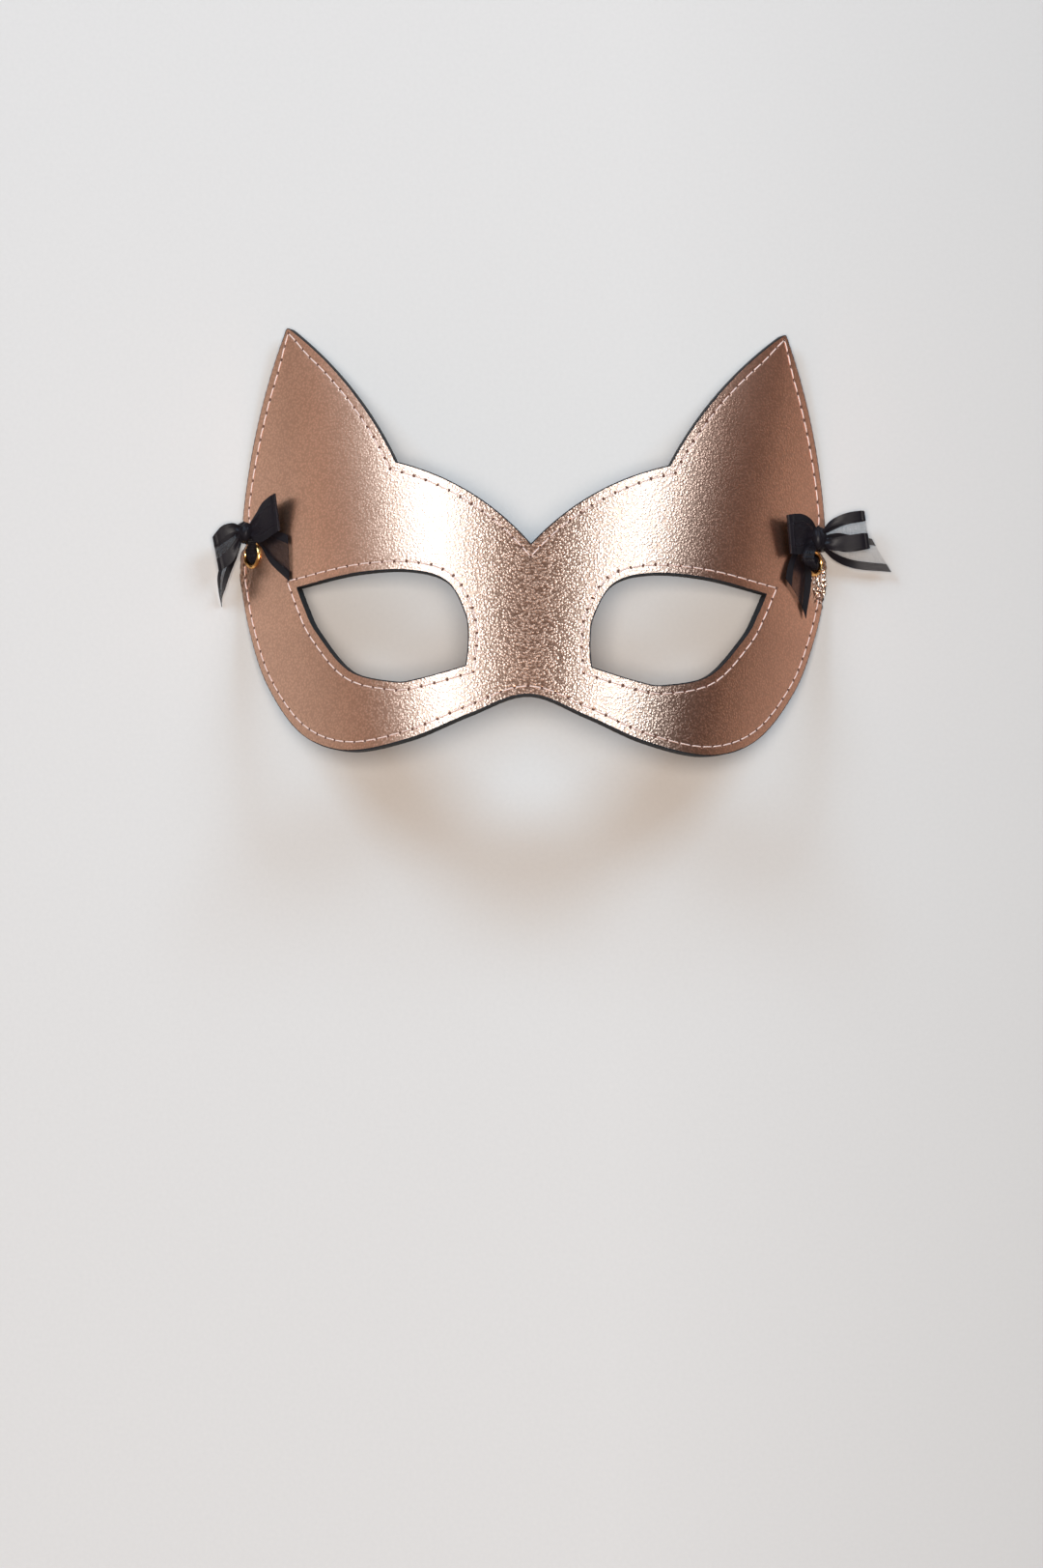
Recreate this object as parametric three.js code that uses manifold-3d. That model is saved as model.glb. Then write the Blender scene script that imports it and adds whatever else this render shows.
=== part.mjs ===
// A cat half mask of two leather layers, with a ribbon bow tied at each temple, lying front up.
// All sizes are in millimetres. The mask is drawn as it looks from the front: x to the right,
// y up to the ears, z out of the face. One turn about x then lays it on its side edges.

import * as THREE from 'three';
import { mergeVertices } from 'three/addons/utils/BufferGeometryUtils.js';
import Module from 'manifold-3d';

const wasm = await Module();
wasm.setup();

// Leather layers, counted inwards from the face
const faceThickness = 0.7;
const layerGap = 0.3;
const backingThickness = 1.0;

// The bend: an arc over the nose and brow, and a wider arc at each side
const frontRadius = 86;
const sideRadius = 150;
const sideStartAngle = THREE.MathUtils.degToRad(44);
const coneApexBelow = 300;
const backwardLean = Math.tan(THREE.MathUtils.degToRad(19));
const rulingSpacing = 6;
const mergeDistance = 1e-4;

// Right half of the outer edge, seen from the front
const notch = [0, 10.2];
const earRoot = [37.4, 32.2];
const earTip = [68.5, 69.2];
const sideCorner = [80.6, 0];
const browSag = 3.4;
const earInnerSag = 2.9;
const earOuterSag = 3.15;
const cheekPoints = [
  [77.6, -14.5],
  [72.2, -29.4],
  [62.3, -42.5],
  [49.3, -47],
  [32.3, -43.5],
  [16, -36.6],
];
const noseArch = [0, -31];
const browSteps = 8;
const earInnerSteps = 8;
const earOuterSteps = 36;
const lowerEdgeSteps = 56;

// Where the ribbon ties round the side edge, it pulls the edge in
const tieHeight = 11.2;
const tieFlatHalf = 2;
const tieHalfLength = 5;
const tieDepth = 1.4;
const tieOutboard = 3.8;

// Right eye opening, from its outer corner over the top to its inner corner, and back below
const eyeOuterCorner = [64.2, -2.6];
const eyeTop = [
  [48.5, 1.3],
  [33.4, 2.4],
  [22.9, -0.5],
  [17.6, -9.3],
  [16.7, -16.7],
];
const eyeInnerCorner = [17.2, -23.2];
const eyeBottom = [
  [29.8, -26.9],
  [37.1, -27.8],
  [49.3, -24.8],
  [58.6, -14.5],
  [62, -8],
];
const eyeTopSteps = 24;
const eyeBottomSteps = 22;

// Eyelets
const eyeletPlace = [77, 6.2];
const eyeletBore = 2.6;
const eyeletBarrel = 2.95;
const eyeletFlange = 3.9;
const eyeletCrown = 3.1;
const eyeletCrownHeight = 1.2;
const eyeletSheet = 0.4;
const clearance = 0.3;
const eyeletSides = 24;

// Ribbon
const ribbonThickness = 0.6;
const neckWidth = 3.4;
const loopSteps = 20;
const tailSteps = 12;
const neckSteps = 36;
const knotSteps = [12, 8];

// How the mask lies: the turn about x that brings both side edges level, the height where the floor
// trims two small flats on each of them, and the size of that trimming block
const restPitch = THREE.MathUtils.degToRad(3.4);
const floorHeight = -50.1;
const floorSize = 400;
const floorDepth = 20;

// Materials
const roseGoldLeather = new THREE.MeshStandardMaterial({ color: 0xa87c64, roughness: 0.42, metalness: 0.6 });
const blackLeather = new THREE.MeshStandardMaterial({ color: 0x17161a, roughness: 0.7, metalness: 0 });
const brass = new THREE.MeshStandardMaterial({ color: 0xd8a24a, roughness: 0.25, metalness: 1 });
const blackRibbon = new THREE.MeshStandardMaterial({ color: 0x121114, roughness: 0.55, metalness: 0 });

const leatherThickness = faceThickness + layerGap + backingThickness;
const sideStartArc = frontRadius * sideStartAngle;
const sideStartX = frontRadius * Math.sin(sideStartAngle);
const sideStartZ = frontRadius * (Math.cos(sideStartAngle) - 1);

// The bend at the widest level: place and slope after an arc length from the centre line
function bendAt(arcLength) {
  const side = Math.sign(arcLength) || 1;
  const length = Math.abs(arcLength);
  const angle = length <= sideStartArc
    ? length / frontRadius
    : sideStartAngle + (length - sideStartArc) / sideRadius;
  const frontPart = length <= sideStartArc;
  const x = frontPart
    ? frontRadius * Math.sin(angle)
    : sideStartX + sideRadius * (Math.sin(angle) - Math.sin(sideStartAngle));
  const z = frontPart
    ? frontRadius * (Math.cos(angle) - 1)
    : sideStartZ + sideRadius * (Math.cos(angle) - Math.cos(sideStartAngle));
  return { x: side * x, z, angle: side * angle };
}

// The arc length that lies at a distance x from the centre line, seen from the front
function arcLengthAt(x) {
  const side = Math.sign(x) || 1;
  const distance = Math.abs(x);
  if (distance <= sideStartX) return side * frontRadius * Math.asin(distance / frontRadius);
  const angle = Math.asin(Math.sin(sideStartAngle) + (distance - sideStartX) / sideRadius);
  return side * (sideStartArc + sideRadius * (angle - sideStartAngle));
}

// The leather narrows like a cone towards the nose
function coneScale(height) {
  return 1 + height / coneApexBelow;
}

// A place in the flat pattern (arc length, height) for a place seen from the front
function patternPoint([x, y]) {
  return new THREE.Vector2(arcLengthAt(x / coneScale(y)), y);
}

// The direction straight out of the leather at a place in the pattern
function leatherNormal(arcLength, height) {
  const { x, z, angle } = bendAt(arcLength);
  const sine = Math.sin(angle);
  const cosine = Math.cos(angle);
  const rise = cosine * backwardLean - (sine * x + cosine * z) / coneApexBelow;
  return new THREE.Vector3(sine, rise, cosine).normalize();
}

// The place in space of a pattern place, raised above the outer face along its normal
function onLeather(arcLength, height, raised) {
  const { x, z } = bendAt(arcLength);
  const scale = coneScale(height);
  const place = new THREE.Vector3(scale * x, height, scale * z - height * backwardLean);
  return place.addScaledVector(leatherNormal(arcLength, height), raised);
}

const upward = new THREE.Vector3(0, 1, 0);
const mirrored = ([x, y]) => [-x, y];
const asVector = ([x, y]) => new THREE.Vector2(x, y);

// A shallow curve between two corners, which stands off the straight line by the sag
function saggingEdge(from, to, sag) {
  const start = asVector(from);
  const end = asVector(to);
  const along = end.clone().sub(start).normalize();
  const middle = start.clone().lerp(end, 0.5);
  middle.add(new THREE.Vector2(-along.y, along.x).multiplyScalar(2 * sag));
  return new THREE.QuadraticBezierCurve(start, middle, end);
}

// Pulls the points near the tie in towards the centre line
function pulledIn(point) {
  const distance = Math.abs(point.y - tieHeight);
  const pull = tieDepth * (1 - THREE.MathUtils.smoothstep(distance, tieFlatHalf, tieHalfLength));
  return new THREE.Vector2(point.x - pull, point.y);
}

// The outer edge seen from the front, counterclockwise from the notch between the ears
function outerEdge() {
  const brow = saggingEdge(notch, earRoot, browSag).getPoints(browSteps);
  const earInner = saggingEdge(earRoot, earTip, earInnerSag).getPoints(earInnerSteps);
  const earOuter = saggingEdge(earTip, sideCorner, earOuterSag).getPoints(earOuterSteps).map(pulledIn);
  const rightCheek = [sideCorner, ...cheekPoints];
  const leftCheek = rightCheek.map(mirrored).reverse();
  const lowerEdge = new THREE.SplineCurve([...rightCheek, noseArch, ...leftCheek].map(asVector));
  const lower = lowerEdge.getPoints(lowerEdgeSteps);
  const right = [...brow.slice(1), ...earInner.slice(1), ...earOuter.slice(1, -1)];
  const left = right.map((point) => new THREE.Vector2(-point.x, point.y)).reverse();
  return [asVector(notch), ...right, ...lower, ...left];
}

// One eye opening seen from the front; side is 1 on the right and -1 on the left
function eyeEdge(side) {
  const topCurve = new THREE.SplineCurve([eyeOuterCorner, ...eyeTop, eyeInnerCorner].map(asVector));
  const bottomCurve = new THREE.SplineCurve([eyeInnerCorner, ...eyeBottom, eyeOuterCorner].map(asVector));
  const top = topCurve.getPoints(eyeTopSteps);
  const bottom = bottomCurve.getPoints(eyeBottomSteps);
  const right = [...top.slice(0, -1), ...bottom.slice(0, -1)];
  return side > 0 ? right : right.map(({ x, y }) => new THREE.Vector2(-x, y)).reverse();
}

const toPattern = (points) => points.map((point) => patternPoint([point.x, point.y]));

// A place near an eyelet: how far outboard, how far up and how far off the leather
function nearEyelet(side, outboard, up, raised) {
  const centre = patternPoint([side * eyeletPlace[0], eyeletPlace[1]]);
  const normal = leatherNormal(centre.x, centre.y);
  const upWay = upward.clone().addScaledVector(normal, -normal.y).normalize();
  const outWay = upWay.clone().cross(normal).multiplyScalar(side);
  const place = onLeather(centre.x, centre.y, raised);
  return place.addScaledVector(outWay, outboard).addScaledVector(upWay, up);
}

// The round hole for an eyelet in the pattern, counterclockwise
function eyeletHole(side) {
  const radius = eyeletBarrel + clearance;
  return Array.from({ length: eyeletSides }, (_, index) => {
    const angle = (side * 2 * Math.PI * index) / eyeletSides;
    const point = nearEyelet(side, radius * Math.cos(angle), radius * Math.sin(angle), 0);
    return patternPoint([point.x, point.y]);
  });
}

// Adds the points where a closed edge of the pattern crosses the rulings
function withRulings(ring) {
  return ring.flatMap((point, index) => {
    const next = ring[(index + 1) % ring.length];
    const [low, high] = point.x < next.x ? [point, next] : [next, point];
    const added = [];
    for (let ruling = Math.floor(low.x / rulingSpacing) + 1; ruling * rulingSpacing < high.x; ruling += 1) {
      const along = (ruling * rulingSpacing - low.x) / (high.x - low.x);
      added.push(new THREE.Vector2(ruling * rulingSpacing, THREE.MathUtils.lerp(low.y, high.y, along)));
    }
    return [point, ...(point.x < next.x ? added : added.reverse())];
  });
}

// The stretches of a closed edge that run between one ruling and the next
function chainsInStrip(ring, strip) {
  const at = (index) => ring[(index + ring.length) % ring.length];
  const inside = (index) => Math.floor((at(index).x + at(index + 1).x) / 2 / rulingSpacing) === strip;
  const chains = [];
  ring.forEach((point, index) => {
    if (!inside(index) || inside(index - 1)) return;
    const chain = [point];
    for (let step = index; inside(step); step += 1) chain.push(at(step + 1));
    chains.push(chain);
  });
  return chains;
}

// The leather between one ruling and the next, as closed outlines
function stripOutlines(rings, strip) {
  const chains = rings.flatMap((ring) => chainsInStrip(ring, strip));
  const partners = new Map();
  for (const level of [strip * rulingSpacing, (strip + 1) * rulingSpacing]) {
    const ends = chains.flatMap((chain) => [chain[0], chain.at(-1)]);
    const onRuling = ends.filter((point) => point.x === level).sort((a, b) => a.y - b.y);
    for (let index = 0; index < onRuling.length; index += 2) {
      partners.set(onRuling[index], onRuling[index + 1]);
      partners.set(onRuling[index + 1], onRuling[index]);
    }
  }
  const outlines = [];
  while (chains.length > 0) {
    const outline = chains.pop();
    for (let next = partners.get(outline.at(-1)); next !== outline[0]; next = partners.get(outline.at(-1))) {
      const found = chains.findIndex((chain) => chain[0] === next);
      outline.push(...chains.splice(found, 1)[0]);
    }
    outlines.push(outline);
  }
  return outlines;
}

// A leather layer: the flat pattern with its openings, bent along its rulings
function leatherLayer(outerDepth, thickness) {
  const edges = [toPattern(outerEdge()), ...[1, -1].flatMap((side) => [toPattern(eyeEdge(side)), eyeletHole(side)])];
  const rings = edges.map(withRulings);
  const front = ({ x, y }) => onLeather(x, y, -outerDepth);
  const back = ({ x, y }) => onLeather(x, y, -outerDepth - thickness);
  const corners = [];
  const lastStrip = Math.floor(Math.max(...rings[0].map((point) => point.x)) / rulingSpacing);
  for (let strip = -lastStrip - 1; strip <= lastStrip; strip += 1) {
    for (const outline of stripOutlines(rings, strip)) {
      for (const [a, b, c] of THREE.ShapeUtils.triangulateShape(outline, [])) {
        corners.push(...[outline[a], outline[b], outline[c]].map(front));
        corners.push(...[outline[c], outline[b], outline[a]].map(back));
      }
    }
  }
  for (const ring of rings) {
    ring.forEach((point, index) => {
      const next = ring[(index + 1) % ring.length];
      corners.push(front(point), front(next), back(point), back(point), front(next), back(next));
    });
  }
  return new THREE.BufferGeometry().setFromPoints(corners);
}

// A closed geometry as a solid, and a solid as a geometry
function toSolid(geometry) {
  const bare = new THREE.BufferGeometry();
  bare.setAttribute('position', geometry.getAttribute('position'));
  bare.setIndex(geometry.index);
  const merged = mergeVertices(bare, mergeDistance);
  return new wasm.Manifold(new wasm.Mesh({
    numProp: 3,
    vertProperties: new Float32Array(merged.getAttribute('position').array),
    triVerts: new Uint32Array(merged.index.array),
  }));
}

function toGeometry(solid) {
  const mesh = solid.getMesh();
  const geometry = new THREE.BufferGeometry();
  geometry.setAttribute('position', new THREE.BufferAttribute(mesh.vertProperties, 3));
  geometry.setIndex(new THREE.BufferAttribute(mesh.triVerts, 1));
  return geometry;
}

// A flanged eyelet set through both layers, rolled over behind
function eyelet(side) {
  const frontFoot = clearance;
  const backFoot = -leatherThickness - clearance;
  const profile = [
    [eyeletBore, backFoot - eyeletSheet],
    [eyeletFlange, backFoot - eyeletSheet],
    [eyeletFlange, backFoot],
    [eyeletBarrel, backFoot],
    [eyeletBarrel, frontFoot],
    [eyeletFlange, frontFoot],
    [eyeletFlange, frontFoot + eyeletSheet],
    [eyeletCrown, eyeletCrownHeight - eyeletSheet / 2],
    [(eyeletBore + eyeletCrown) / 2, eyeletCrownHeight],
    [eyeletBore, eyeletCrownHeight - eyeletSheet / 2],
    [eyeletBore, backFoot - eyeletSheet],
  ].map(asVector);
  const centre = nearEyelet(side, 0, 0, 0);
  const outward = nearEyelet(side, 0, 0, 1).sub(centre);
  const turn = new THREE.Quaternion().setFromUnitVectors(upward, outward);
  return new THREE.LatheGeometry(profile, eyeletSides).applyQuaternion(turn).translate(...centre);
}

// A ribbon between two rails. Each rail is a list of points; the end may be cut on the slant,
// and then cut gives how far along each rail the ribbon reaches.
function ribbon({ rails, cut = [1, 1], steps = tailSteps }) {
  const curves = rails.map((rail) => new THREE.CatmullRomCurve3(rail.map((point) => new THREE.Vector3(...point))));
  const strip = new THREE.BoxGeometry(1, 1, 1, steps, 1, 1);
  const place = strip.getAttribute('position');
  for (let index = 0; index < place.count; index += 1) {
    const along = place.getX(index) + 0.5;
    const across = place.getY(index) + 0.5;
    const reach = along * THREE.MathUtils.lerp(cut[0], cut[1], across);
    const [first, second] = curves.map((curve) => curve.getPoint(reach));
    const [firstWay, secondWay] = curves.map((curve) => curve.getTangent(reach));
    const outward = firstWay.add(secondWay).cross(second.clone().sub(first)).normalize();
    const point = first.lerp(second, across).addScaledVector(outward, place.getZ(index) * ribbonThickness);
    place.setXYZ(index, point.x, point.y, point.z);
  }
  return strip;
}

// The gathered ribbon that runs from the knot through the eyelet, behind the leather and round its edge.
// Each step is a place near the eyelet (outboard, up, off the leather) and the way the width lies.
function neck(side) {
  const up = tieHeight - eyeletPlace[1];
  const behind = -leatherThickness - clearance - eyeletSheet - clearance;
  const route = [
    { place: [-1, up - 0.4, 3.2], across: [1, 0] },
    { place: [-0.9, 3, 3.3], across: [1, 0] },
    { place: [-0.5, 1.2, 2.4], across: [1, 0] },
    { place: [0, 0.2, 0.4], across: [1, 0] },
    { place: [0, 0, -2.2], across: [1, 0] },
    { place: [0.2, 1.2, behind - 0.6], across: [1, -0.2] },
    { place: [1, 3.2, behind - 0.6], across: [1, -0.8] },
    { place: [tieOutboard - 1.4, up - 0.3, behind - 0.3], across: [0.4, -1] },
    { place: [tieOutboard + 0.1, up, behind + 0.1], across: [0, -1] },
    { place: [tieOutboard + 0.95, up, -1.9], across: [0, -1] },
    { place: [tieOutboard + 0.95, up, -0.2], across: [0, -1] },
    { place: [tieOutboard + 0.3, up, 0.8], across: [0, -1] },
    { place: [tieOutboard - 1.3, up + 0.1, 1.7], across: [0, -1] },
    { place: [0, up + 0.3, 3], across: [0, -1] },
  ];
  const rail = (hand) => route.map(({ place: [out, rise, raised], across: [outPart, upPart] }) => {
    const reach = (hand * neckWidth) / 2 / Math.hypot(outPart, upPart);
    return nearEyelet(side, out + reach * outPart, rise + reach * upPart, raised).toArray();
  });
  return ribbon({ rails: side > 0 ? [rail(1), rail(-1)] : [rail(-1), rail(1)], steps: neckSteps });
}

// Each bow: a knot, two folded loops and two cut tails, drawn as they look from the front
const bows = {
  bow_right: {
    side: 1,
    knot: { centre: [78.7, 11.9, -42.3], halfSize: [1.9, 3.05, 1.6] },
    ribbons: [
      {
        steps: loopSteps,
        rails: [
          [[77.8, 13.2, -41.4], [76.0, 16.6, -38.6], [73.4, 18.2, -34.6], [70.2, 18.4, -31.2], [69.6, 18.0, -32.0],
            [70.2, 17.8, -33.2], [74.0, 16.4, -38.2], [77.6, 13.0, -42.8]],
          [[77.8, 10.8, -41.6], [75.4, 10.2, -38.8], [73.4, 8.0, -34.8], [71.2, 7.6, -31.4], [70.8, 7.5, -32.2],
            [71.4, 7.6, -33.4], [74.6, 9.4, -38.6], [77.6, 10.8, -43.0]],
        ],
      },
      {
        steps: loopSteps,
        rails: [
          [[79.6, 13.4, -41.4], [82.1, 17.0, -40.6], [86.2, 18.9, -40.4], [90.5, 19.6, -41.2], [91.0, 19.4, -42.2],
            [90.4, 19.0, -43.4], [86.0, 17.0, -44.4], [79.8, 13.0, -43.0]],
          [[79.6, 10.6, -41.6], [81.6, 9.4, -41.2], [84.6, 8.5, -41.4], [92.1, 9.5, -42.2], [92.7, 9.4, -43.2],
            [92.0, 9.2, -44.4], [85.6, 8.2, -45.4], [79.8, 10.4, -43.2]],
        ],
      },
      {
        cut: [0.82, 1],
        rails: [
          [[79.2, 12.6, -43.0], [83.5, 13.4, -45.6], [88.0, 13.2, -47.0], [98.0, 12.6, -47.2]],
          [[79.2, 10.2, -43.2], [82.0, 6.8, -45.4], [88.0, 3.8, -46.6], [98.5, 2.6, -47.0]],
        ],
      },
      {
        cut: [0.6, 1],
        rails: [
          [[77.0, 11.6, -42.4], [71.4, 8.4, -35.0], [69.8, 1.6, -32.8], [70.2, -9.9, -33.0]],
          [[78.8, 10.6, -42.6], [76.6, 6.0, -39.8], [76.4, 0.6, -40.8], [75.0, -10.4, -38.0]],
        ],
      },
    ],
  },
  bow_left: {
    side: -1,
    knot: { centre: [-79.4, 13.2, -42.9], halfSize: [2.2, 3.1, 1.6] },
    ribbons: [
      {
        steps: loopSteps,
        rails: [
          [[-78.2, 14.8, -42.0], [-76.4, 19.2, -39.2], [-73.6, 22.8, -35.4], [-71.0, 24.2, -32.0], [-70.7, 24.2, -33.0],
            [-71.3, 23.8, -34.2], [-74.6, 20.0, -39.0], [-78.0, 14.6, -43.4]],
          [[-78.2, 12.2, -42.2], [-76.0, 11.2, -39.4], [-73.4, 11.4, -35.6], [-70.1, 13.8, -32.2], [-69.7, 14.0, -33.2],
            [-70.3, 13.8, -34.4], [-74.4, 11.8, -39.6], [-78.0, 12.2, -43.6]],
        ],
      },
      {
        steps: loopSteps,
        rails: [
          [[-80.6, 14.8, -42.0], [-82.8, 16.1, -41.2], [-85.6, 14.7, -41.0], [-87.7, 12.4, -42.0], [-88.0, 12.0, -43.0],
            [-87.3, 11.8, -44.0], [-84.4, 13.2, -44.8], [-80.6, 14.4, -43.6]],
          [[-80.4, 12.0, -42.2], [-81.4, 8.8, -42.0], [-83.2, 5.5, -42.0], [-85.5, 3.2, -42.8], [-85.8, 3.0, -43.8],
            [-85.2, 3.4, -44.8], [-82.8, 6.2, -45.6], [-80.4, 11.8, -43.8]],
        ],
      },
      {
        cut: [1, 0.72],
        rails: [
          [[-80.4, 12.6, -43.8], [-84.6, 6.4, -46.8], [-86.2, 1.6, -47.4], [-85.9, -3.0, -47.2], [-85.3, -7.3, -46.8]],
          [[-79.8, 11.8, -42.6], [-82.2, 7.0, -41.4], [-84.2, 0.6, -40.4], [-85.1, -3.6, -40.4], [-85.0, -8.0, -40.8]],
        ],
      },
      {
        cut: [0.86, 1],
        rails: [
          [[-78.6, 13.8, -43.2], [-75.2, 14.2, -40.8], [-71.4, 13.8, -36.4], [-65.4, 12.4, -30.0]],
          [[-78.6, 12.0, -43.4], [-75.0, 10.0, -41.0], [-72.4, 5.8, -37.0], [-66.7, 0.2, -29.6]],
        ],
      },
    ],
  },
};

// The knot is a flattened ball that lies along the leather
function knotGeometry(side, { centre, halfSize }) {
  const outward = nearEyelet(side, 0, 0, 1).sub(nearEyelet(side, 0, 0, 0));
  const along = upward.clone().cross(outward).normalize();
  const lying = new THREE.Matrix4().makeBasis(along, outward.clone().cross(along), outward);
  return new THREE.SphereGeometry(1, ...knotSteps).scale(...halfSize).applyMatrix4(lying).translate(...centre);
}

// One bow as a single solid
function bow({ side, knot, ribbons }) {
  let solid = toSolid(knotGeometry(side, knot));
  for (const strip of [...ribbons.map(ribbon), neck(side)]) solid = solid.add(toSolid(strip));
  return toGeometry(solid);
}

// The mask in its lying position
const mask = new THREE.Group();
mask.rotation.x = restPitch;
mask.updateMatrix();

// A block of floor in the mask's own frame, which trims the flat spots it lies on
function floorBlock() {
  const block = new THREE.BoxGeometry(floorSize, floorSize, floorDepth);
  block.translate(0, 0, floorHeight - floorDepth / 2);
  return block.applyMatrix4(mask.matrix.clone().invert());
}

function addPiece(name, geometry, material) {
  const piece = new THREE.Mesh(geometry, material);
  piece.name = name;
  mask.add(piece);
}

const backing = toSolid(leatherLayer(faceThickness + layerGap, backingThickness)).subtract(toSolid(floorBlock()));
addPiece('face_leather', toGeometry(toSolid(leatherLayer(0, faceThickness))), roseGoldLeather);
addPiece('backing_leather', toGeometry(backing), blackLeather);
addPiece('eyelet_left', toGeometry(toSolid(eyelet(-1))), brass);
addPiece('eyelet_right', toGeometry(toSolid(eyelet(1))), brass);
for (const [name, shape] of Object.entries(bows)) addPiece(name, bow(shape), blackRibbon);

// The origin is on the floor, below the middle of the bounding box
const model = new THREE.Group();
model.add(mask);
model.updateMatrixWorld(true);
const bounds = new THREE.Box3().setFromObject(model, true);
mask.position.set(-(bounds.min.x + bounds.max.x) / 2, -(bounds.min.y + bounds.max.y) / 2, -bounds.min.z);

export default model;
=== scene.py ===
# A cat half mask of metallic leather on a black lining, laid front up on a pale studio floor.
# The mask is drawn in millimetres as it looks from the front: x to the right, y up to the ears and
# z out of the face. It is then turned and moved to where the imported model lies, in metres.

import math

import bpy
import numpy as np
from mathutils import Matrix, Vector, geometry, kdtree


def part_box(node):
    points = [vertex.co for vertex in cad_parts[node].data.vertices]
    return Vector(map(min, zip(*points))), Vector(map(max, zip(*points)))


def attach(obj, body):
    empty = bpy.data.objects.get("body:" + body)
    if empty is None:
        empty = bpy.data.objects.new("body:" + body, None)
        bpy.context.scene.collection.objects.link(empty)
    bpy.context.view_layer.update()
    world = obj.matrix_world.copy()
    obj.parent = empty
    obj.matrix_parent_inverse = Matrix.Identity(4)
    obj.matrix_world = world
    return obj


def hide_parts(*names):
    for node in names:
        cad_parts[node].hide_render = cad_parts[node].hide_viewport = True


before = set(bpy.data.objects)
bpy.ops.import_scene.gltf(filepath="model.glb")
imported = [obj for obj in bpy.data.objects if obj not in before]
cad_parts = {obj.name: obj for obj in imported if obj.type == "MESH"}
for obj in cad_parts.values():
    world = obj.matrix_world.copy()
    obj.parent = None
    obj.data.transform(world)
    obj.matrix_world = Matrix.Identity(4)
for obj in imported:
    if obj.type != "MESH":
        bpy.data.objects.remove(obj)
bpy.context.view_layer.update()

# The face leather
# One piece of pebbled calf under a rose gold metal foil, cut to the outline of a cat's brow and ears.
# It is formed over a mould to the bend of a face, and its cut edges are painted black.

millimetre = 0.001
face_thickness = 0.95
leather_thickness = 2.0

front_radius = 86.0
side_radius = 150.0
side_start = math.radians(44)
apex_below = 300.0
backward_lean = math.tan(math.radians(19))
rest_pitch = math.radians(3.4)

side_start_arc = front_radius * side_start
side_start_x = front_radius * math.sin(side_start)
side_start_z = front_radius * (math.cos(side_start) - 1)

notch = (0, 10.2)
ear_root = (37.4, 32.2)
ear_tip = (68.5, 69.2)
ear_tips = (ear_tip, (-ear_tip[0], ear_tip[1]))
side_corner = (80.6, 0)
brow_sag = 3.4
ear_inner_sag = 2.9
ear_outer_sag = 3.15
cheek_points = [(77.6, -14.5), (72.2, -29.4), (62.3, -42.5), (49.3, -47), (32.3, -43.5), (16, -36.6)]
nose_arch = (0, -31)

tie_height = 11.2
tie_flat_half = 2
tie_half_length = 5
tie_depth = 1.4

eye_outer_corner = (64.2, -2.6)
eye_top = [(48.5, 1.3), (33.4, 2.4), (22.9, -0.5), (17.6, -9.3), (16.7, -16.7)]
eye_inner_corner = (17.2, -23.2)
eye_bottom = [(29.8, -26.9), (37.1, -27.8), (49.3, -24.8), (58.6, -14.5), (62, -8)]

eyelet_place = (77, 6.2)
eyelet_barrel = 2.95
eyelet_flange = 3.9


def bend_at(arc):
    """The bend at the widest level: x, z and slope after an arc length from the centre line"""
    side = np.where(arc < 0, -1.0, 1.0)
    length = np.abs(arc)
    at_front = length <= side_start_arc
    angle = np.where(at_front, length / front_radius, side_start + (length - side_start_arc) / side_radius)
    front_x = front_radius * np.sin(angle)
    front_z = front_radius * (np.cos(angle) - 1)
    side_x = side_start_x + side_radius * (np.sin(angle) - math.sin(side_start))
    side_z = side_start_z + side_radius * (np.cos(angle) - math.cos(side_start))
    return side * np.where(at_front, front_x, side_x), np.where(at_front, front_z, side_z), side * angle


def pattern_of(seen):
    """Places in the flat pattern (arc length, height) for places seen from the front"""
    seen = np.atleast_2d(np.asarray(seen, float))
    x = seen[:, 0] / (1 + seen[:, 1] / apex_below)
    side = np.where(x < 0, -1.0, 1.0)
    distance = np.abs(x)
    front_arc = front_radius * np.arcsin(np.clip(distance / front_radius, 0, 1))
    side_angle = np.arcsin(np.clip(math.sin(side_start) + (distance - side_start_x) / side_radius, 0, 1))
    side_arc = side_start_arc + side_radius * (side_angle - side_start)
    return np.column_stack([side * np.where(distance <= side_start_x, front_arc, side_arc), seen[:, 1]])


def unit(ways):
    """The same directions, each of length one"""
    return ways / np.linalg.norm(ways, axis=-1, keepdims=True)


def leather_normal(pattern):
    """The directions straight out of the leather"""
    x, z, angle = bend_at(pattern[:, 0])
    rise = np.cos(angle) * backward_lean - (np.sin(angle) * x + np.cos(angle) * z) / apex_below
    return unit(np.column_stack([np.sin(angle), rise, np.cos(angle)]))


def on_leather(pattern, raised=0.0):
    """Places in space for places in the pattern, raised above the outer face by a height each"""
    x, z, angle = bend_at(pattern[:, 0])
    scale = 1 + pattern[:, 1] / apex_below
    place = np.column_stack([scale * x, pattern[:, 1], scale * z - pattern[:, 1] * backward_lean])
    return place + leather_normal(pattern) * np.reshape(raised, (-1, 1))


def seen_on_leather(seen, raised=0.0):
    return on_leather(pattern_of(seen), raised)


def lengths_along(seen):
    """How far along an edge each of its points is, measured on the leather"""
    steps = np.linalg.norm(np.diff(seen_on_leather(seen), axis=0), axis=1)
    return np.concatenate([[0], np.cumsum(steps)])


def evenly(seen, gap):
    """The same edge with points at an even gap, its two ends kept"""
    seen = np.asarray(seen, float)
    along = lengths_along(seen)
    count = max(2, round(along[-1] / gap) + 1)
    wanted = np.linspace(0, along[-1], count)
    return np.column_stack([np.interp(wanted, along, seen[:, k]) for k in (0, 1)])


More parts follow.
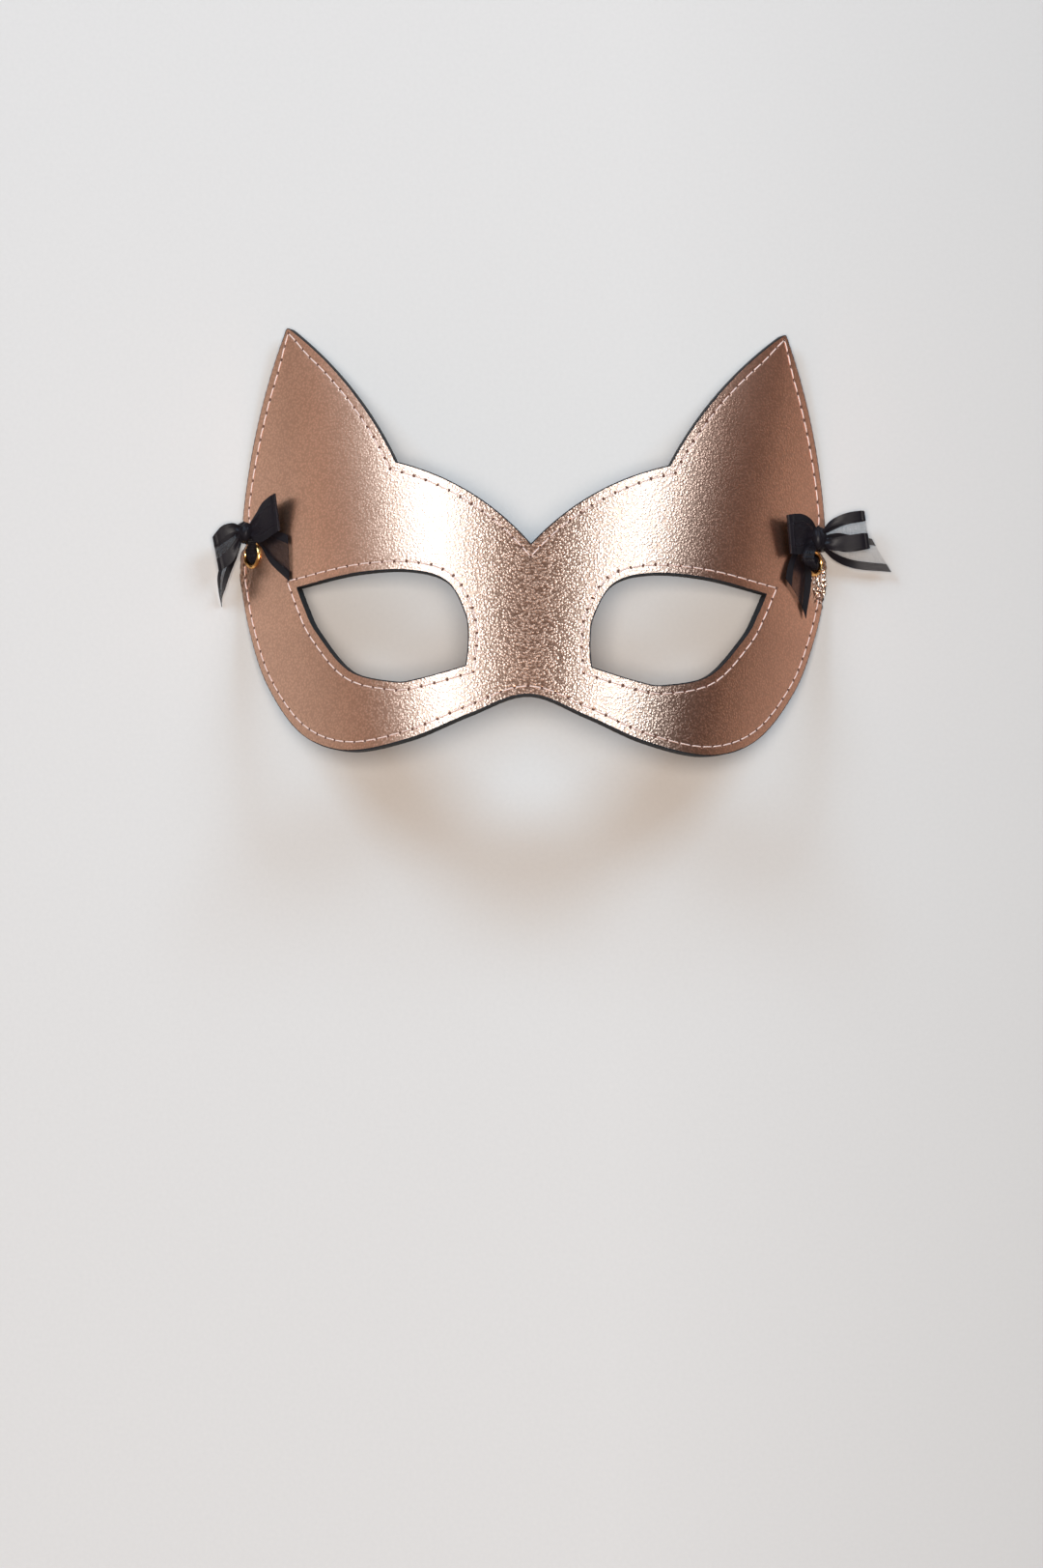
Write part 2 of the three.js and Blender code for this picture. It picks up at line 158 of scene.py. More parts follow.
def bent(start, middle, end, t):
    """A curve from start to end, drawn towards the middle point"""
    return (1 - t) ** 2 * start + 2 * t * (1 - t) * middle + t ** 2 * end


def eased(t):
    """The same share of the way, starting and ending slowly"""
    return t * t * (3 - 2 * t)


def sagging_edge(start, end, sag, steps=160):
    """A shallow curve between two corners, which stands off the straight line by the sag"""
    start, end = np.array(start, float), np.array(end, float)
    along = unit(end - start)
    middle = (start + end) / 2 + 2 * sag * np.array([-along[1], along[0]])
    t = np.linspace(0, 1, steps + 1)[:, None]
    return bent(start, middle, end, t)


def between(here, there, leaving, arriving, t):
    """The places and the ways of a smooth curve between points, from its ways as it leaves and arrives"""
    cubic = 2 * here - 2 * there + leaving + arriving
    square = -3 * here + 3 * there - 2 * leaving - arriving
    return ((cubic * t + square) * t + leaving) * t + here, (3 * cubic * t + 2 * square) * t + leaving


def spline(points, steps):
    """A smooth curve through all the points"""
    points = np.asarray(points, float)
    place = np.linspace(0, len(points) - 1, steps + 1)
    start = np.minimum(place.astype(int), len(points) - 2)
    t = (place - start)[:, None]
    before, here, there, after = (points[np.clip(start + k, 0, len(points) - 1)] for k in (-1, 0, 1, 2))
    return between(here, there, (there - before) / 2, (after - here) / 2, t)[0]


def pulled_in(edge):
    """The side edge, pulled in towards the centre line where the ribbon ties round it"""
    t = np.clip((np.abs(edge[:, 1] - tie_height) - tie_flat_half) / (tie_half_length - tie_flat_half), 0, 1)
    pull = tie_depth * (1 - eased(t))
    return np.column_stack([edge[:, 0] - pull, edge[:, 1]])


def mirrored(run):
    """The same run on the other side, in the same turning sense"""
    return np.asarray(run, float)[::-1] * (-1, 1)


def turned_round(runs):
    """The same edge followed the other way, so that the leather is on the left"""
    return [run[::-1] for run in reversed(runs)]


side_steps = 900
eye_steps = 300
right_cheek = [side_corner, *cheek_points]
lower_run = spline([*right_cheek, nose_arch, *mirrored(right_cheek)], side_steps)
brow_run = sagging_edge(notch, ear_root, brow_sag)
ear_inner_run = sagging_edge(ear_root, ear_tip, ear_inner_sag)
ear_outer_run = pulled_in(sagging_edge(ear_tip, side_corner, ear_outer_sag))
side_run = np.vstack([ear_outer_run[:-1], lower_run[:-1], mirrored(ear_outer_run)])
outer_runs = turned_round([brow_run, ear_inner_run, side_run, mirrored(ear_inner_run), mirrored(brow_run)])

eye_top_run = spline([eye_outer_corner, *eye_top, eye_inner_corner], eye_steps)
eye_bottom_run = spline([eye_inner_corner, *eye_bottom, eye_outer_corner], eye_steps)
right_eye_runs = turned_round([eye_top_run, eye_bottom_run])
left_eye_runs = turned_round([mirrored(eye_bottom_run), mirrored(eye_top_run)])
edge_loops = [outer_runs, right_eye_runs, left_eye_runs]


def joined(runs, gap):
    """A closed edge from its runs, each with points at an even gap"""
    return np.vstack([evenly(run, gap)[:-1] for run in runs])


def eyelet_middle(side):
    """Where an eyelet's axis comes out of the face"""
    return seen_on_leather((side * eyelet_place[0], eyelet_place[1]))[0]


def eyelet_axis(side):
    """The direction straight out of the leather at an eyelet"""
    return leather_normal(pattern_of((side * eyelet_place[0], eyelet_place[1])))[0]


def near_eyelet(side, outboard, up):
    """Places in space near an eyelet: how far outboard and how far up, in the plane of the leather"""
    axis = eyelet_axis(side)
    up_way = unit(np.array([0, 1, 0]) - axis[1] * axis)
    out_way = side * np.cross(up_way, axis)
    return eyelet_middle(side) + np.outer(outboard, out_way) + np.outer(up, up_way)


def eyelet_ring(side, radius, count):
    """A circle round an eyelet, seen from the front, counterclockwise"""
    angle = side * 2 * np.pi * np.arange(count) / count
    return near_eyelet(side, radius * np.cos(angle), radius * np.sin(angle))[:, :2]


def tip_rounded(loop, tip, reach):
    """The closed edge with one of its corners rounded off, as the knife leaves it"""
    near = np.linalg.norm(loop - tip, axis=1) < reach
    start = np.flatnonzero(near & ~np.roll(near, 1))[0]
    loop = np.roll(loop, -start, axis=0)
    count = near.sum()
    t = np.linspace(0, 1, tip_steps + 1)[1:-1, None]
    return np.vstack([bent(loop[-1], np.array(tip), loop[count], t), loop[count:]])


edge_gap = 0.55
ear_tip_rounding = 0.9
tip_steps = 8
eyelet_hole_sides = 40
eyelet_hole_play = 0.1
outlines = [joined(runs, edge_gap) for runs in edge_loops]
for tip in ear_tips:
    outlines[0] = tip_rounded(outlines[0], tip, ear_tip_rounding)
outlines += [eyelet_ring(side, eyelet_barrel + eyelet_hole_play, eyelet_hole_sides) for side in (1, -1)]

# The seam runs a little inside each edge. Its needle holes are punched first, and they dimple the foil.
seam_inset = 2.5
seam_inset_at_ear_tip = 1.2
ear_tip_reach = 13
stitch_pitch = 3.8
seam_corner_reach = 9
seam_point_gap = 0.5


def inset_run(run, distance):
    """A run moved to its left by a distance measured on the leather"""
    place = seen_on_leather(run)
    inward = unit(np.cross(leather_normal(pattern_of(run)), np.gradient(place, axis=0)))
    return (place + inward * np.reshape(distance, (-1, 1)))[:, :2]


def lengthened(run, reach):
    """A run with a straight stretch added at both ends"""
    start = run[0] + unit(run[0] - run[2]) * reach
    end = run[-1] + unit(run[-1] - run[-3]) * reach
    return np.vstack([start, run, end])


def turn_between(first, second):
    """How far the second direction turns from the first, seen from the front"""
    return first[..., 0] * second[..., 1] - first[..., 1] * second[..., 0]


def crossing(first, second):
    """Where the end part of one run crosses the start part of the next: the places on both, and the point"""
    a, b = first[:-1, None], first[1:, None]
    c, d = second[None, :-1], second[None, 1:]
    turn = turn_between(b - a, d - c)
    nearly_parallel = 1e-12
    turn = np.where(np.abs(turn) < nearly_parallel, nearly_parallel, turn)
    t, u = turn_between(c - a, d - c) / turn, turn_between(c - a, b - a) / turn
    hits = np.argwhere((t >= 0) & (t <= 1) & (u >= 0) & (u <= 1))
    i, j = hits[np.argmin(hits[:, 1] - hits[:, 0])]
    return i, j, first[i] + t[i, j] * (first[i + 1] - first[i])


def seam_inset_along(run):
    """How far inside the edge the seam runs: the seams of an ear close up on each other towards its tip"""
    from_tips = seen_on_leather(run)[:, None] - seen_on_leather(ear_tips)[None]
    away = np.min(np.linalg.norm(from_tips, axis=2), axis=1)
    t = np.clip(away / ear_tip_reach, 0, 1)
    return seam_inset_at_ear_tip + (seam_inset - seam_inset_at_ear_tip) * eased(t)


def seam_from(runs):
    """The runs of a seam inside a closed edge, cut to each other at the corners"""
    moved = []
    for run in runs:
        run = evenly(run, seam_point_gap)
        moved.append(lengthened(inset_run(run, seam_inset_along(run)), seam_corner_reach))
    count = len(moved)
    corners = [crossing(moved[k - 1], moved[k]) for k in range(count)]
    result = []
    for k in range(count):
        begin, end = corners[k], corners[(k + 1) % count]
        result.append(np.vstack([begin[2], moved[k][begin[1] + 1:end[0] + 1], end[2]]))
    return result


seam_loops = [seam_from(runs) for runs in edge_loops]
hole_loops = [joined(runs, stitch_pitch) for runs in seam_loops]
all_holes = np.vstack(hole_loops)


def tree_of(seen):
    """A search tree of places on the leather"""
    places = seen_on_leather(seen)
    tree = kdtree.KDTree(len(places))
    for index, place in enumerate(places):
        tree.insert(place, index)
    tree.balance()
    return tree


def distances_to(tree, places):
    return np.array([tree.find(place)[2] for place in places])


edge_search_gap = 0.2
seam_search_gap = 0.25
closed_edges = [np.vstack([loop, loop[:1]]) for loop in outlines[:3]]
edge_tree = tree_of(np.vstack([evenly(edge, edge_search_gap) for edge in closed_edges]))
seam_tree = tree_of(np.vstack([evenly(run, seam_search_gap) for runs in seam_loops for run in runs]))
hole_tree = tree_of(all_holes)


def inside(points, loops):
    """True for the points that lie on the leather: inside the outer edge and outside the openings"""
    within = np.zeros(len(points), bool)
    x, y = points[:, 0], points[:, 1]
    for loop in loops:
        for (x1, y1), (x2, y2) in zip(loop, np.roll(loop, -1, axis=0)):
            if y1 == y2:
                continue
            beside = (y1 > y) != (y2 > y)
            within ^= beside & (x < (x2 - x1) * (y - y1) / (y2 - y1) + x1)
    return within


def hex_on_pattern(gap):
    """A triangular grid all over the pattern"""
    edge = pattern_of(outlines[0])
    low, high = edge.min(0), edge.max(0)
    rows = np.arange(low[1], high[1], gap * math.sqrt(3) / 2)
    across = np.arange(low[0], high[0], gap)
    return np.array([(x + (gap / 2 if k % 2 else 0), y) for k, y in enumerate(rows) for x in across])


painted_rim = 0.22
wide_painted_rim = 0.36
paint_narrows = (45, 60)
needle_hole_radius = 0.4
edge_rows = (0.1, painted_rim, wide_painted_rim, 0.8)
seam_rows = (-1.0, -0.6, -0.3, 0.3, 0.6, 1.0)
hole_rows = (0.2, needle_hole_radius, 0.56)
hole_ring_points = 8
eyelet_rows = (3.3, 3.7, 4.1, 4.5)
eyelet_ring_points = 36
plain_gap = 1.25
hidden_gap = 4.0
clear_of_seam = 1.4
clear_of_edge = 1.2
crease_gap = 0.24
crease_reach = 11
closest_points = 0.1
closest_to_edge = 0.08
closest_to_barrel = 0.2
same_point = 1e-7


def fine_points():
    """The points of a surface that shows: rows along the edges and seams, rings at the holes, a grid"""
    near_edge = [inset_run(evenly(run, edge_gap), row)
                 for runs in edge_loops for run in runs for row in edge_rows]
    near_seam = [inset_run(evenly(run, seam_point_gap), row)
                 for runs in seam_loops for run in runs for row in seam_rows]
    turn = 2 * np.pi * np.arange(hole_ring_points) / hole_ring_points
    ring = np.column_stack([np.cos(turn), np.sin(turn)])
    at_holes = [all_holes] + [all_holes + radius * way for radius in hole_rows for way in ring]
    at_eyelets = [eyelet_ring(side, radius, eyelet_ring_points) for side in (1, -1) for radius in eyelet_rows]
    points = pattern_of(np.vstack([*at_holes, *near_edge, *near_seam, *at_eyelets]))
    grid = hex_on_pattern(plain_gap)
    places = on_leather(grid)
    off_edge = distances_to(edge_tree, places) > clear_of_edge
    grid = grid[off_edge & (distances_to(seam_tree, places) > clear_of_seam)]
    creased = hex_on_pattern(crease_gap)
    places = on_leather(creased)
    close = np.min([np.linalg.norm(places - eyelet_middle(side), axis=1) for side in (1, -1)], axis=0)
    points = np.vstack([points, creased[close < crease_reach], grid])
    kept = np.unique(np.round(points / closest_points).astype(int), axis=0, return_index=True)[1]
    return points[np.sort(kept)]


def plain_points():
    """The points of a surface that lies hidden between the layers"""
    grid = hex_on_pattern(hidden_gap)
    return grid[distances_to(edge_tree, on_leather(grid)) > clear_of_edge]


rings = [pattern_of(outline) for outline in outlines]
ring_points = np.vstack(rings)
ring_starts = np.cumsum([0] + [len(ring) for ring in rings])
ring_edges = [(start + k, start + (k + 1) % len(ring))
              for start, ring in zip(ring_starts, rings) for k in range(len(ring))]


def triangulated(extra):
    """Triangles over the leather, with the edges' points first and then the extra points"""
    clear = distances_to(edge_tree, on_leather(extra)) > closest_to_edge
    extra = extra[clear & inside(extra, rings)]
    for side in (1, -1):
        from_middle = np.linalg.norm(on_leather(extra) - eyelet_middle(side), axis=1)
        extra = extra[from_middle > eyelet_barrel + closest_to_barrel]
    points = np.vstack([ring_points, extra])
    found = geometry.delaunay_2d_cdt([Vector(point) for point in points], ring_edges, [], 0, same_point)
    origin = np.array([ids[0] for ids in found[3]])
    triangles = origin[np.array(found[2])]
    middles = points[triangles].mean(axis=1)
    return points, triangles[inside(middles, rings)]


edge_round_over = 0.12
seam_groove_depth = 0.025
seam_groove_width = 0.45
hole_dimple_depth = 0.55
hole_dimple_width = 0.2


def pressed(points):
    """How far the seams, the needle holes and the turned edge press the leather down"""
    places = on_leather(points)
    short = np.clip(edge_round_over - distances_to(edge_tree, places), 0, None)
    depth = edge_round_over - np.sqrt(edge_round_over ** 2 - short ** 2)
    depth += seam_groove_depth * np.exp(-(distances_to(seam_tree, places) / seam_groove_width) ** 2)
    depth += hole_dimple_depth * np.exp(-(distances_to(hole_tree, places) / hole_dimple_width) ** 2)
    return depth


crease_middle = ([3.2], [-4.6])
crease_depths = ((1, 0.27), (-1, 0.06))
crease_spread = 3.3
crease_stretch = 0.48
crease_lean = 1.6
crease_ways = [(0.9, 0.3), (-0.5, 0.9), (0.8, -0.5), (1.0, 0.1), (0.7, 0.6)]
crease_waves = [1.7, 1.3, 1.05, 2.4, 1.5]
crease_offset = 1.7
crease_bend = 0.8
crease_bend_pace = 0.9
crease_bend_offset = 2.1


def creases(points):
    """Fine creases where the ribbon pulls on the leather, outboard of each eyelet and below it"""
    places = on_leather(points)
    height = np.zeros(len(points))
    for side, depth in crease_depths:
        offset = places - near_eyelet(side, *crease_middle)[0]
        away = np.hypot(np.linalg.norm(offset[:, [0, 2]], axis=1), crease_stretch * offset[:, 1])
        strength = depth * np.exp(-(away / crease_spread) ** 2)
        for k, ((across, up), wave) in enumerate(zip(crease_ways, crease_waves)):
            reach = across * places[:, 0] * side * crease_lean + up * places[:, 1]
            phase = 2 * np.pi * reach / wave + crease_offset * k
            bend = crease_bend * np.sin(places[:, 1] * crease_bend_pace + crease_bend_offset * k)
            height += strength * np.sin(phase + bend)
    return height


slack_depth = 0.03
slack_across, slack_up, slack_drift = 13.0, 15.0, 16.0
slack_sway, slack_start = 0.8, 0.6


def slack(points):
    """The slow unevenness of leather that was formed by hand"""
    x, y = points[:, 0], points[:, 1]
    drift = slack_sway * np.sin(y / slack_drift)
    return slack_depth * np.sin(x / slack_across + drift) * np.cos(y / slack_up + slack_start)


def lay_down(places):
    """Turns millimetres as seen from the front into metres where the mask lies"""
    places = np.atleast_2d(places)
    cosine, sine = math.cos(rest_pitch), math.sin(rest_pitch)
    turned = np.column_stack([places[:, 0],
                              places[:, 1] * cosine - places[:, 2] * sine,
                              places[:, 1] * sine + places[:, 2] * cosine])
    return turned * millimetre + shift


shift = np.zeros(3)
low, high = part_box("face_leather")
survey_gap = 1.0
survey = hex_on_pattern(survey_gap)
face_edge = lay_down(seen_on_leather(outlines[0]))
face_front = lay_down(on_leather(survey[inside(survey, rings)]))
shift = np.array([(low.x + high.x) / 2, high.y - face_edge[:, 1].max(), high.z - face_front[:, 2].max()])


def front_slots(points, faces):
    """Slot 1, raw leather, inside the needle holes, slot 2, edge paint, on the rim, and slot 0 elsewhere"""
    middles = on_leather(points[faces].mean(axis=1))
    in_hole = distances_to(hole_tree, middles) < needle_hole_radius
    rim = np.interp(np.abs(middles[:, 0]), paint_narrows, (wide_painted_rim, painted_rim))
    on_rim = distances_to(edge_tree, middles) < rim
    return np.where(in_hole, 1, np.where(on_rim, 2, 0)).tolist()


def new_piece(name, places, faces, finishes, slots=None):
    """A mesh piece with its finishes, nowhere below the floor; the slots say which finish each face wears"""
    places = np.array(places)
    places[:, 2] = np.maximum(places[:, 2], 0)
    mesh = bpy.data.meshes.new(name)
    mesh.from_pydata(places.tolist(), [], faces)
    mesh.polygons.foreach_set("use_smooth", [True] * len(faces))
    for finish in finishes:
        mesh.materials.append(finish)
    if slots:
        mesh.polygons.foreach_set("material_index", slots)
    piece = bpy.data.objects.new(name, mesh)
    bpy.context.scene.collection.objects.link(piece)
    return piece


leather_crease_angle = math.radians(40)


def leather_piece(name, front_height, front_points, back_height, back_points, finishes):
    """A closed leather layer: its front, back and cut edges wear the first, second and third finish"""
    front_pattern, front_faces = triangulated(front_points)
    back_pattern, back_faces = triangulated(back_points)
    front = lay_down(on_leather(front_pattern, front_height(front_pattern)))
    back = lay_down(on_leather(back_pattern, back_height(back_pattern)))
    back_start = len(front)
    walls = [(there, here, here + back_start, there + back_start) for here, there in ring_edges]
    faces = front_faces.tolist() + (back_faces[:, ::-1] + back_start).tolist() + walls
    slots = front_slots(front_pattern, front_faces) + [1] * len(back_faces) + [2] * len(walls)
    piece = new_piece(name, np.vstack([front, back]), faces, finishes, slots)
    piece.data.set_sharp_from_angle(angle=leather_crease_angle)
    return piece


def new_material(name):
    """A node material, its tree and its shader"""
    material = bpy.data.materials.new(name)
    material.use_nodes = True
    tree = material.node_tree
    return material, tree, tree.nodes["Principled BSDF"]


def feed(tree, node, inputs):
    """Gives a node its inputs: plain values, or the sockets that feed them"""
    for name, value in inputs.items():
        if isinstance(value, bpy.types.NodeSocket):
            tree.links.new(value, node.inputs[name])
        else:
            node.inputs[name].default_value = value


def add_node(tree, kind, inputs, **settings):
    """A node with its settings and its inputs"""
    node = tree.nodes.new(kind)
    for name, value in settings.items():
        setattr(node, name, value)
    feed(tree, node, inputs)
    return node


def math_of(tree, operation, *values):
    """The result of a sum on numbers and sockets"""
    return add_node(tree, "ShaderNodeMath", dict(enumerate(values)), operation=operation).outputs[0]


def ranged(tree, value, before=(0, 1), after=(0, 1)):
    """A value taken from one range to another, and kept within it"""
    inputs = {"Value": value, "From Min": before[0], "From Max": before[1],
              "To Min": after[0], "To Max": after[1]}
    return add_node(tree, "ShaderNodeMapRange", inputs).outputs["Result"]


def blend_of(tree, factor, low, high):
    """A colour that goes from one to the other as the factor rises from 0 to 1"""
    low, high = ((*colour, 1) if isinstance(colour, tuple) else colour for colour in (low, high))
    return add_node(tree, "ShaderNodeMix", {"Factor": factor, 6: low, 7: high}, data_type="RGBA").outputs[2]


def bump_of(tree, height, strength, distance):
    """The direction of a surface with this relief"""
    inputs = {"Height": height, "Strength": strength, "Distance": distance}
    return add_node(tree, "ShaderNodeBump", inputs).outputs["Normal"]


def place_in(tree, stretch=(1, 1, 1), coordinate="Object"):
    """The place on the piece: in metres, or across and along a ribbon in its own widths"""
    place = add_node(tree, "ShaderNodeTexCoord", {}).outputs[coordinate]
    return add_node(tree, "ShaderNodeMapping", {"Vector": place, "Scale": stretch}).outputs["Vector"]


def noise_in(tree, scale, detail, **place):
    """A noise over the piece, finer as its scale rises"""
    inputs = {"Vector": place_in(tree, **place), "Scale": scale, "Detail": detail}
    return add_node(tree, "ShaderNodeTexNoise", inputs).outputs["Fac"]


crease_place = lay_down(near_eyelet(1, *crease_middle))[0]


def rose_gold_foil():
    """Lacquered metal foil over pebbled grain, with painted shade that makes it a darker red to the right,
    low on the cheeks and far out at the sides, and a painted glint on its creases
    """
    material, tree, shader = new_material("rose_gold_foil")
    pebbles = add_node(tree, "ShaderNodeTexVoronoi", {"Vector": place_in(tree), "Scale": 1500,
                                                      "Randomness": 0.95, "Smoothness": 0.25},
                       feature="SMOOTH_F1")
    fine = noise_in(tree, scale=4200, detail=2)
    broad = noise_in(tree, scale=70, detail=4)
    place = add_node(tree, "ShaderNodeSeparateXYZ", {"Vector": place_in(tree)})
    off_centre = math_of(tree, "ABSOLUTE", place.outputs["X"])
    pressed_flat = ranged(tree, off_centre, (0.022, 0.055), (0, 0.6))
    crown = ranged(tree, pebbles.outputs["Distance"], (0.08, 0.66), (1, pressed_flat))
    height = math_of(tree, "MULTIPLY_ADD", fine, 0.3, crown)

    from_creases = add_node(tree, "ShaderNodeVectorMath", {0: place_in(tree), 1: crease_place},
                            operation="DISTANCE")
    creases_and_painted_glint = ranged(tree, from_creases.outputs["Value"], (0.002, 0.0085), (1, 0))
    crinkles = noise_in(tree, scale=800, detail=3, stretch=(1, 0.35, 1))
    sharper = math_of(tree, "MULTIPLY", crinkles, creases_and_painted_glint)
    relief = math_of(tree, "MULTIPLY_ADD", sharper, 15, height)

    tone_and_painted_shade = blend_of(tree, broad, (0.87, 0.50, 0.34), (0.93, 0.535, 0.365))
    # Painted shade: the foil is tinted a darker, more saturated red towards the right.
    painted_shade_right = ranged(tree, place.outputs["X"], (0.028, 0.048))
    tone_and_painted_shade = blend_of(tree, painted_shade_right, tone_and_painted_shade, (0.84, 0.395, 0.245))
    colour = blend_of(tree, crown, (0.35, 0.175, 0.105), tone_and_painted_shade)
    # Painted glint: near the eyelets the creased foil is lightened in colour, as if its facets caught the
    # lamps.
    colour = blend_of(tree, creases_and_painted_glint, colour, (1.0, 0.66, 0.47))
    # Painted shade: the foil colour is blended towards black low on the outer cheeks and far out at the
    # sides.
    painted_shade_low_down = ranged(tree, place.outputs["Y"], (-0.008, -0.026))
    outboard = ranged(tree, off_centre, (0.042, 0.06), (0, 0.25))
    painted_shade_low_cheek = math_of(tree, "MULTIPLY", painted_shade_low_down, outboard)
    painted_shade_far_out = ranged(tree, off_centre, (0.064, 0.073), (0, 0.22))
    painted_deep_shade = math_of(tree, "MAXIMUM", painted_shade_low_cheek, painted_shade_far_out)

    satin_temples = ranged(tree, off_centre, (0.024, 0.058), (0.26, 0.3))
    polished = math_of(tree, "MULTIPLY_ADD", creases_and_painted_glint, -0.19, satin_temples)
    feed(tree, shader, {
        "Base Color": blend_of(tree, painted_deep_shade, colour, (0.05, 0.03, 0.02)),
        "Roughness": math_of(tree, "MULTIPLY_ADD", broad, 0.06, polished),
        "Normal": bump_of(tree, relief, strength=0.57, distance=0.00009),
        "Metallic": 1.0,
        "Coat Weight": 0.3,
        "Coat Roughness": 0.3,
    })
    return material


def edge_paint():
    """Black paint on the cut edges, with a soft gloss and brush lines"""
    material, tree, shader = new_material("black_edge_paint")
    streaks = noise_in(tree, scale=900, detail=4)
    feed(tree, shader, {
        "Base Color": blend_of(tree, streaks, (0.006, 0.006, 0.0065), (0.018, 0.0165, 0.017)),
        "Normal": bump_of(tree, streaks, strength=0.4, distance=0.00006),
        "Roughness": 0.6,
        "Specular IOR Level": 0.2,
    })
    return material


def flesh_side():
    """The raw underside of a leather, where the glue holds"""
    material, tree, shader = new_material("raw_leather")
    fibres = noise_in(tree, scale=700, detail=6)
    feed(tree, shader, {
        "Base Color": blend_of(tree, fibres, (0.070, 0.030, 0.020), (0.170, 0.078, 0.052)),
        "Roughness": 0.9,
    })
    return material


raw, paint = flesh_side(), edge_paint()
face = leather_piece("rose_gold_face",
                     lambda points: creases(points) + slack(points) - pressed(points), fine_points(),
                     lambda points: np.full(len(points), -face_thickness), plain_points(),
                     (rose_gold_foil(), raw, paint))
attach(face, "root")
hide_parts("face_leather")

# The backing leather
# A second piece of the same cut in soft black leather, glued and sewn behind the face.
# It shows at the cut edges, inside the eye openings and all over the back.

backing_gap = 0.01


def lining_leather():
    """Matt black lining leather with a fine even grain"""
    material, tree, shader = new_material("black_lining")
    grain = add_node(tree, "ShaderNodeTexVoronoi", {"Vector": place_in(tree), "Scale": 1400}, feature="F1")
    broad = noise_in(tree, scale=60, detail=5)
    fine = noise_in(tree, scale=3000, detail=3)
    height = math_of(tree, "ADD", grain.outputs["Distance"], fine)
    feed(tree, shader, {
        "Base Color": blend_of(tree, broad, (0.010, 0.0095, 0.010), (0.030, 0.028, 0.030)),
        "Normal": bump_of(tree, height, strength=0.5, distance=0.00007),
        "Roughness": ranged(tree, broad, after=(0.5, 0.75)),
    })
    return material


backing = leather_piece("black_backing",
                        lambda points: np.full(len(points), -face_thickness - backing_gap), plain_points(),
                        lambda points: pressed(points) - leather_thickness, fine_points(),
                        (raw, lining_leather(), paint))
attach(backing, "root")
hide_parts("backing_leather")

# The seams
# Pale pink thread, lock-stitched through both layers along the outer edge and round each eye.
# Each stitch comes up out of one needle hole and goes down the next; behind, the thread is black.

thread_radius = 0.185
thread_sides = 8
thread_plies = 2
ply_depth = 0.16
twist_each_step = 1.1
twist_each_stitch = 0.9
stitch_steps = 13
hole_share = 0.1
rise_share = 0.1
stitch_fullness = 0.6
stitch_low = -0.3
stitch_rise = 0.36
flange_margin = 0.3


def stitch(start, end, side_of_leather):
    """The middle line of one stitch from one hole to the next: in front (1) or behind (-1)"""
    along = np.linspace(hole_share, 1 - hole_share, stitch_steps)
    seen = start + along[:, None] * (end - start)
    rise = np.clip((np.minimum(along, 1 - along) - hole_share) / rise_share, 0, 1) ** stitch_fullness
    height = stitch_low + stitch_rise * rise
    raised = height if side_of_leather > 0 else -leather_thickness - height
    return seen_on_leather(seen, raised)


def tube(line, twist_start):
    """A twisted thread round a middle line: its places and faces"""
    way = unit(np.gradient(line, axis=0))
    upright = np.array([0.03, 0.01, 1.0])
    across = unit(np.cross(way, upright))
    outward = np.cross(across, way)
    turn = 2 * np.pi * np.arange(thread_sides) / thread_sides
    places = []
    for k, point in enumerate(line):
        ply = 1 + ply_depth * np.cos(thread_plies * (turn - twist_start - twist_each_step * k))
        ring = np.outer(np.cos(turn) * ply, across[k]) + np.outer(np.sin(turn) * ply, outward[k])
        places.append(point + thread_radius * ring)
    faces = rolled_faces(len(line), thread_sides)
    return np.vstack(places), faces


def merged(parts):
    """Several meshes as one: their places, and their faces with the places counted on"""
    faces = []
    count = 0
    for own_places, own_faces in parts:
        faces += [tuple(index + count for index in face_ids) for face_ids in own_faces]
        count += len(own_places)
    return np.vstack([own_places for own_places, own_faces in parts]), faces


def rolled_faces(rings, sides):
    """The faces of a closed tube: between its rings of points, and over its two ends"""
    faces = []
    for k in range(rings - 1):
        for j in range(sides):
            next_j = (j + 1) % sides
            faces.append((k * sides + j, k * sides + next_j, (k + 1) * sides + next_j, (k + 1) * sides + j))
    faces.append(tuple(range(sides))[::-1])
    faces.append(tuple((rings - 1) * sides + j for j in range(sides)))
    return faces


def covered(seen):
    """True where an eyelet's flange lies over the seam"""
    place = seen_on_leather(seen)[0]
    reach = eyelet_flange + flange_margin
    return any(np.linalg.norm(place - eyelet_middle(side)) < reach for side in (1, -1))


def seam_piece(name, holes, side_of_leather, finish):
    """All the stitches of one closed seam on one side of the leather"""
    parts = []
    for k, (start, end) in enumerate(zip(holes, np.roll(holes, -1, axis=0))):
        if not (covered((start + end) / 2) or covered(start) or covered(end)):
            parts.append(tube(stitch(start, end, side_of_leather), twist_each_stitch * k))
    places, faces = merged(parts)
    piece = new_piece(name, lay_down(places), faces, [finish])
    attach(piece, "root")
    return piece


def thread(name, dark, light):
    """Twisted sewing thread with a silky sheen"""
    material, tree, shader = new_material(name)
    twist = noise_in(tree, scale=4200, detail=2)
    feed(tree, shader, {
        "Base Color": blend_of(tree, twist, dark, light),
        "Normal": bump_of(tree, twist, strength=0.3, distance=0.00004),
        "Roughness": 0.4,
        "Sheen Weight": 0.3,
    })
    return material


pink_thread = thread("pink_thread", (0.55, 0.37, 0.31), (0.77, 0.58, 0.50))
black_thread = thread("black_thread", (0.012, 0.011, 0.012), (0.04, 0.038, 0.04))
for place_name, holes in zip(("outer", "right_eye", "left_eye"), hole_loops):
    seam_piece(f"seam_{place_name}_front", holes, 1, pink_thread)
    seam_piece(f"seam_{place_name}_back", holes, -1, black_thread)

# The eyelets
# Two brass eyelets, set through both layers at the temples: a barrel with a domed rim in front,
# rolled over behind. Worn a little where the ribbon rubs.

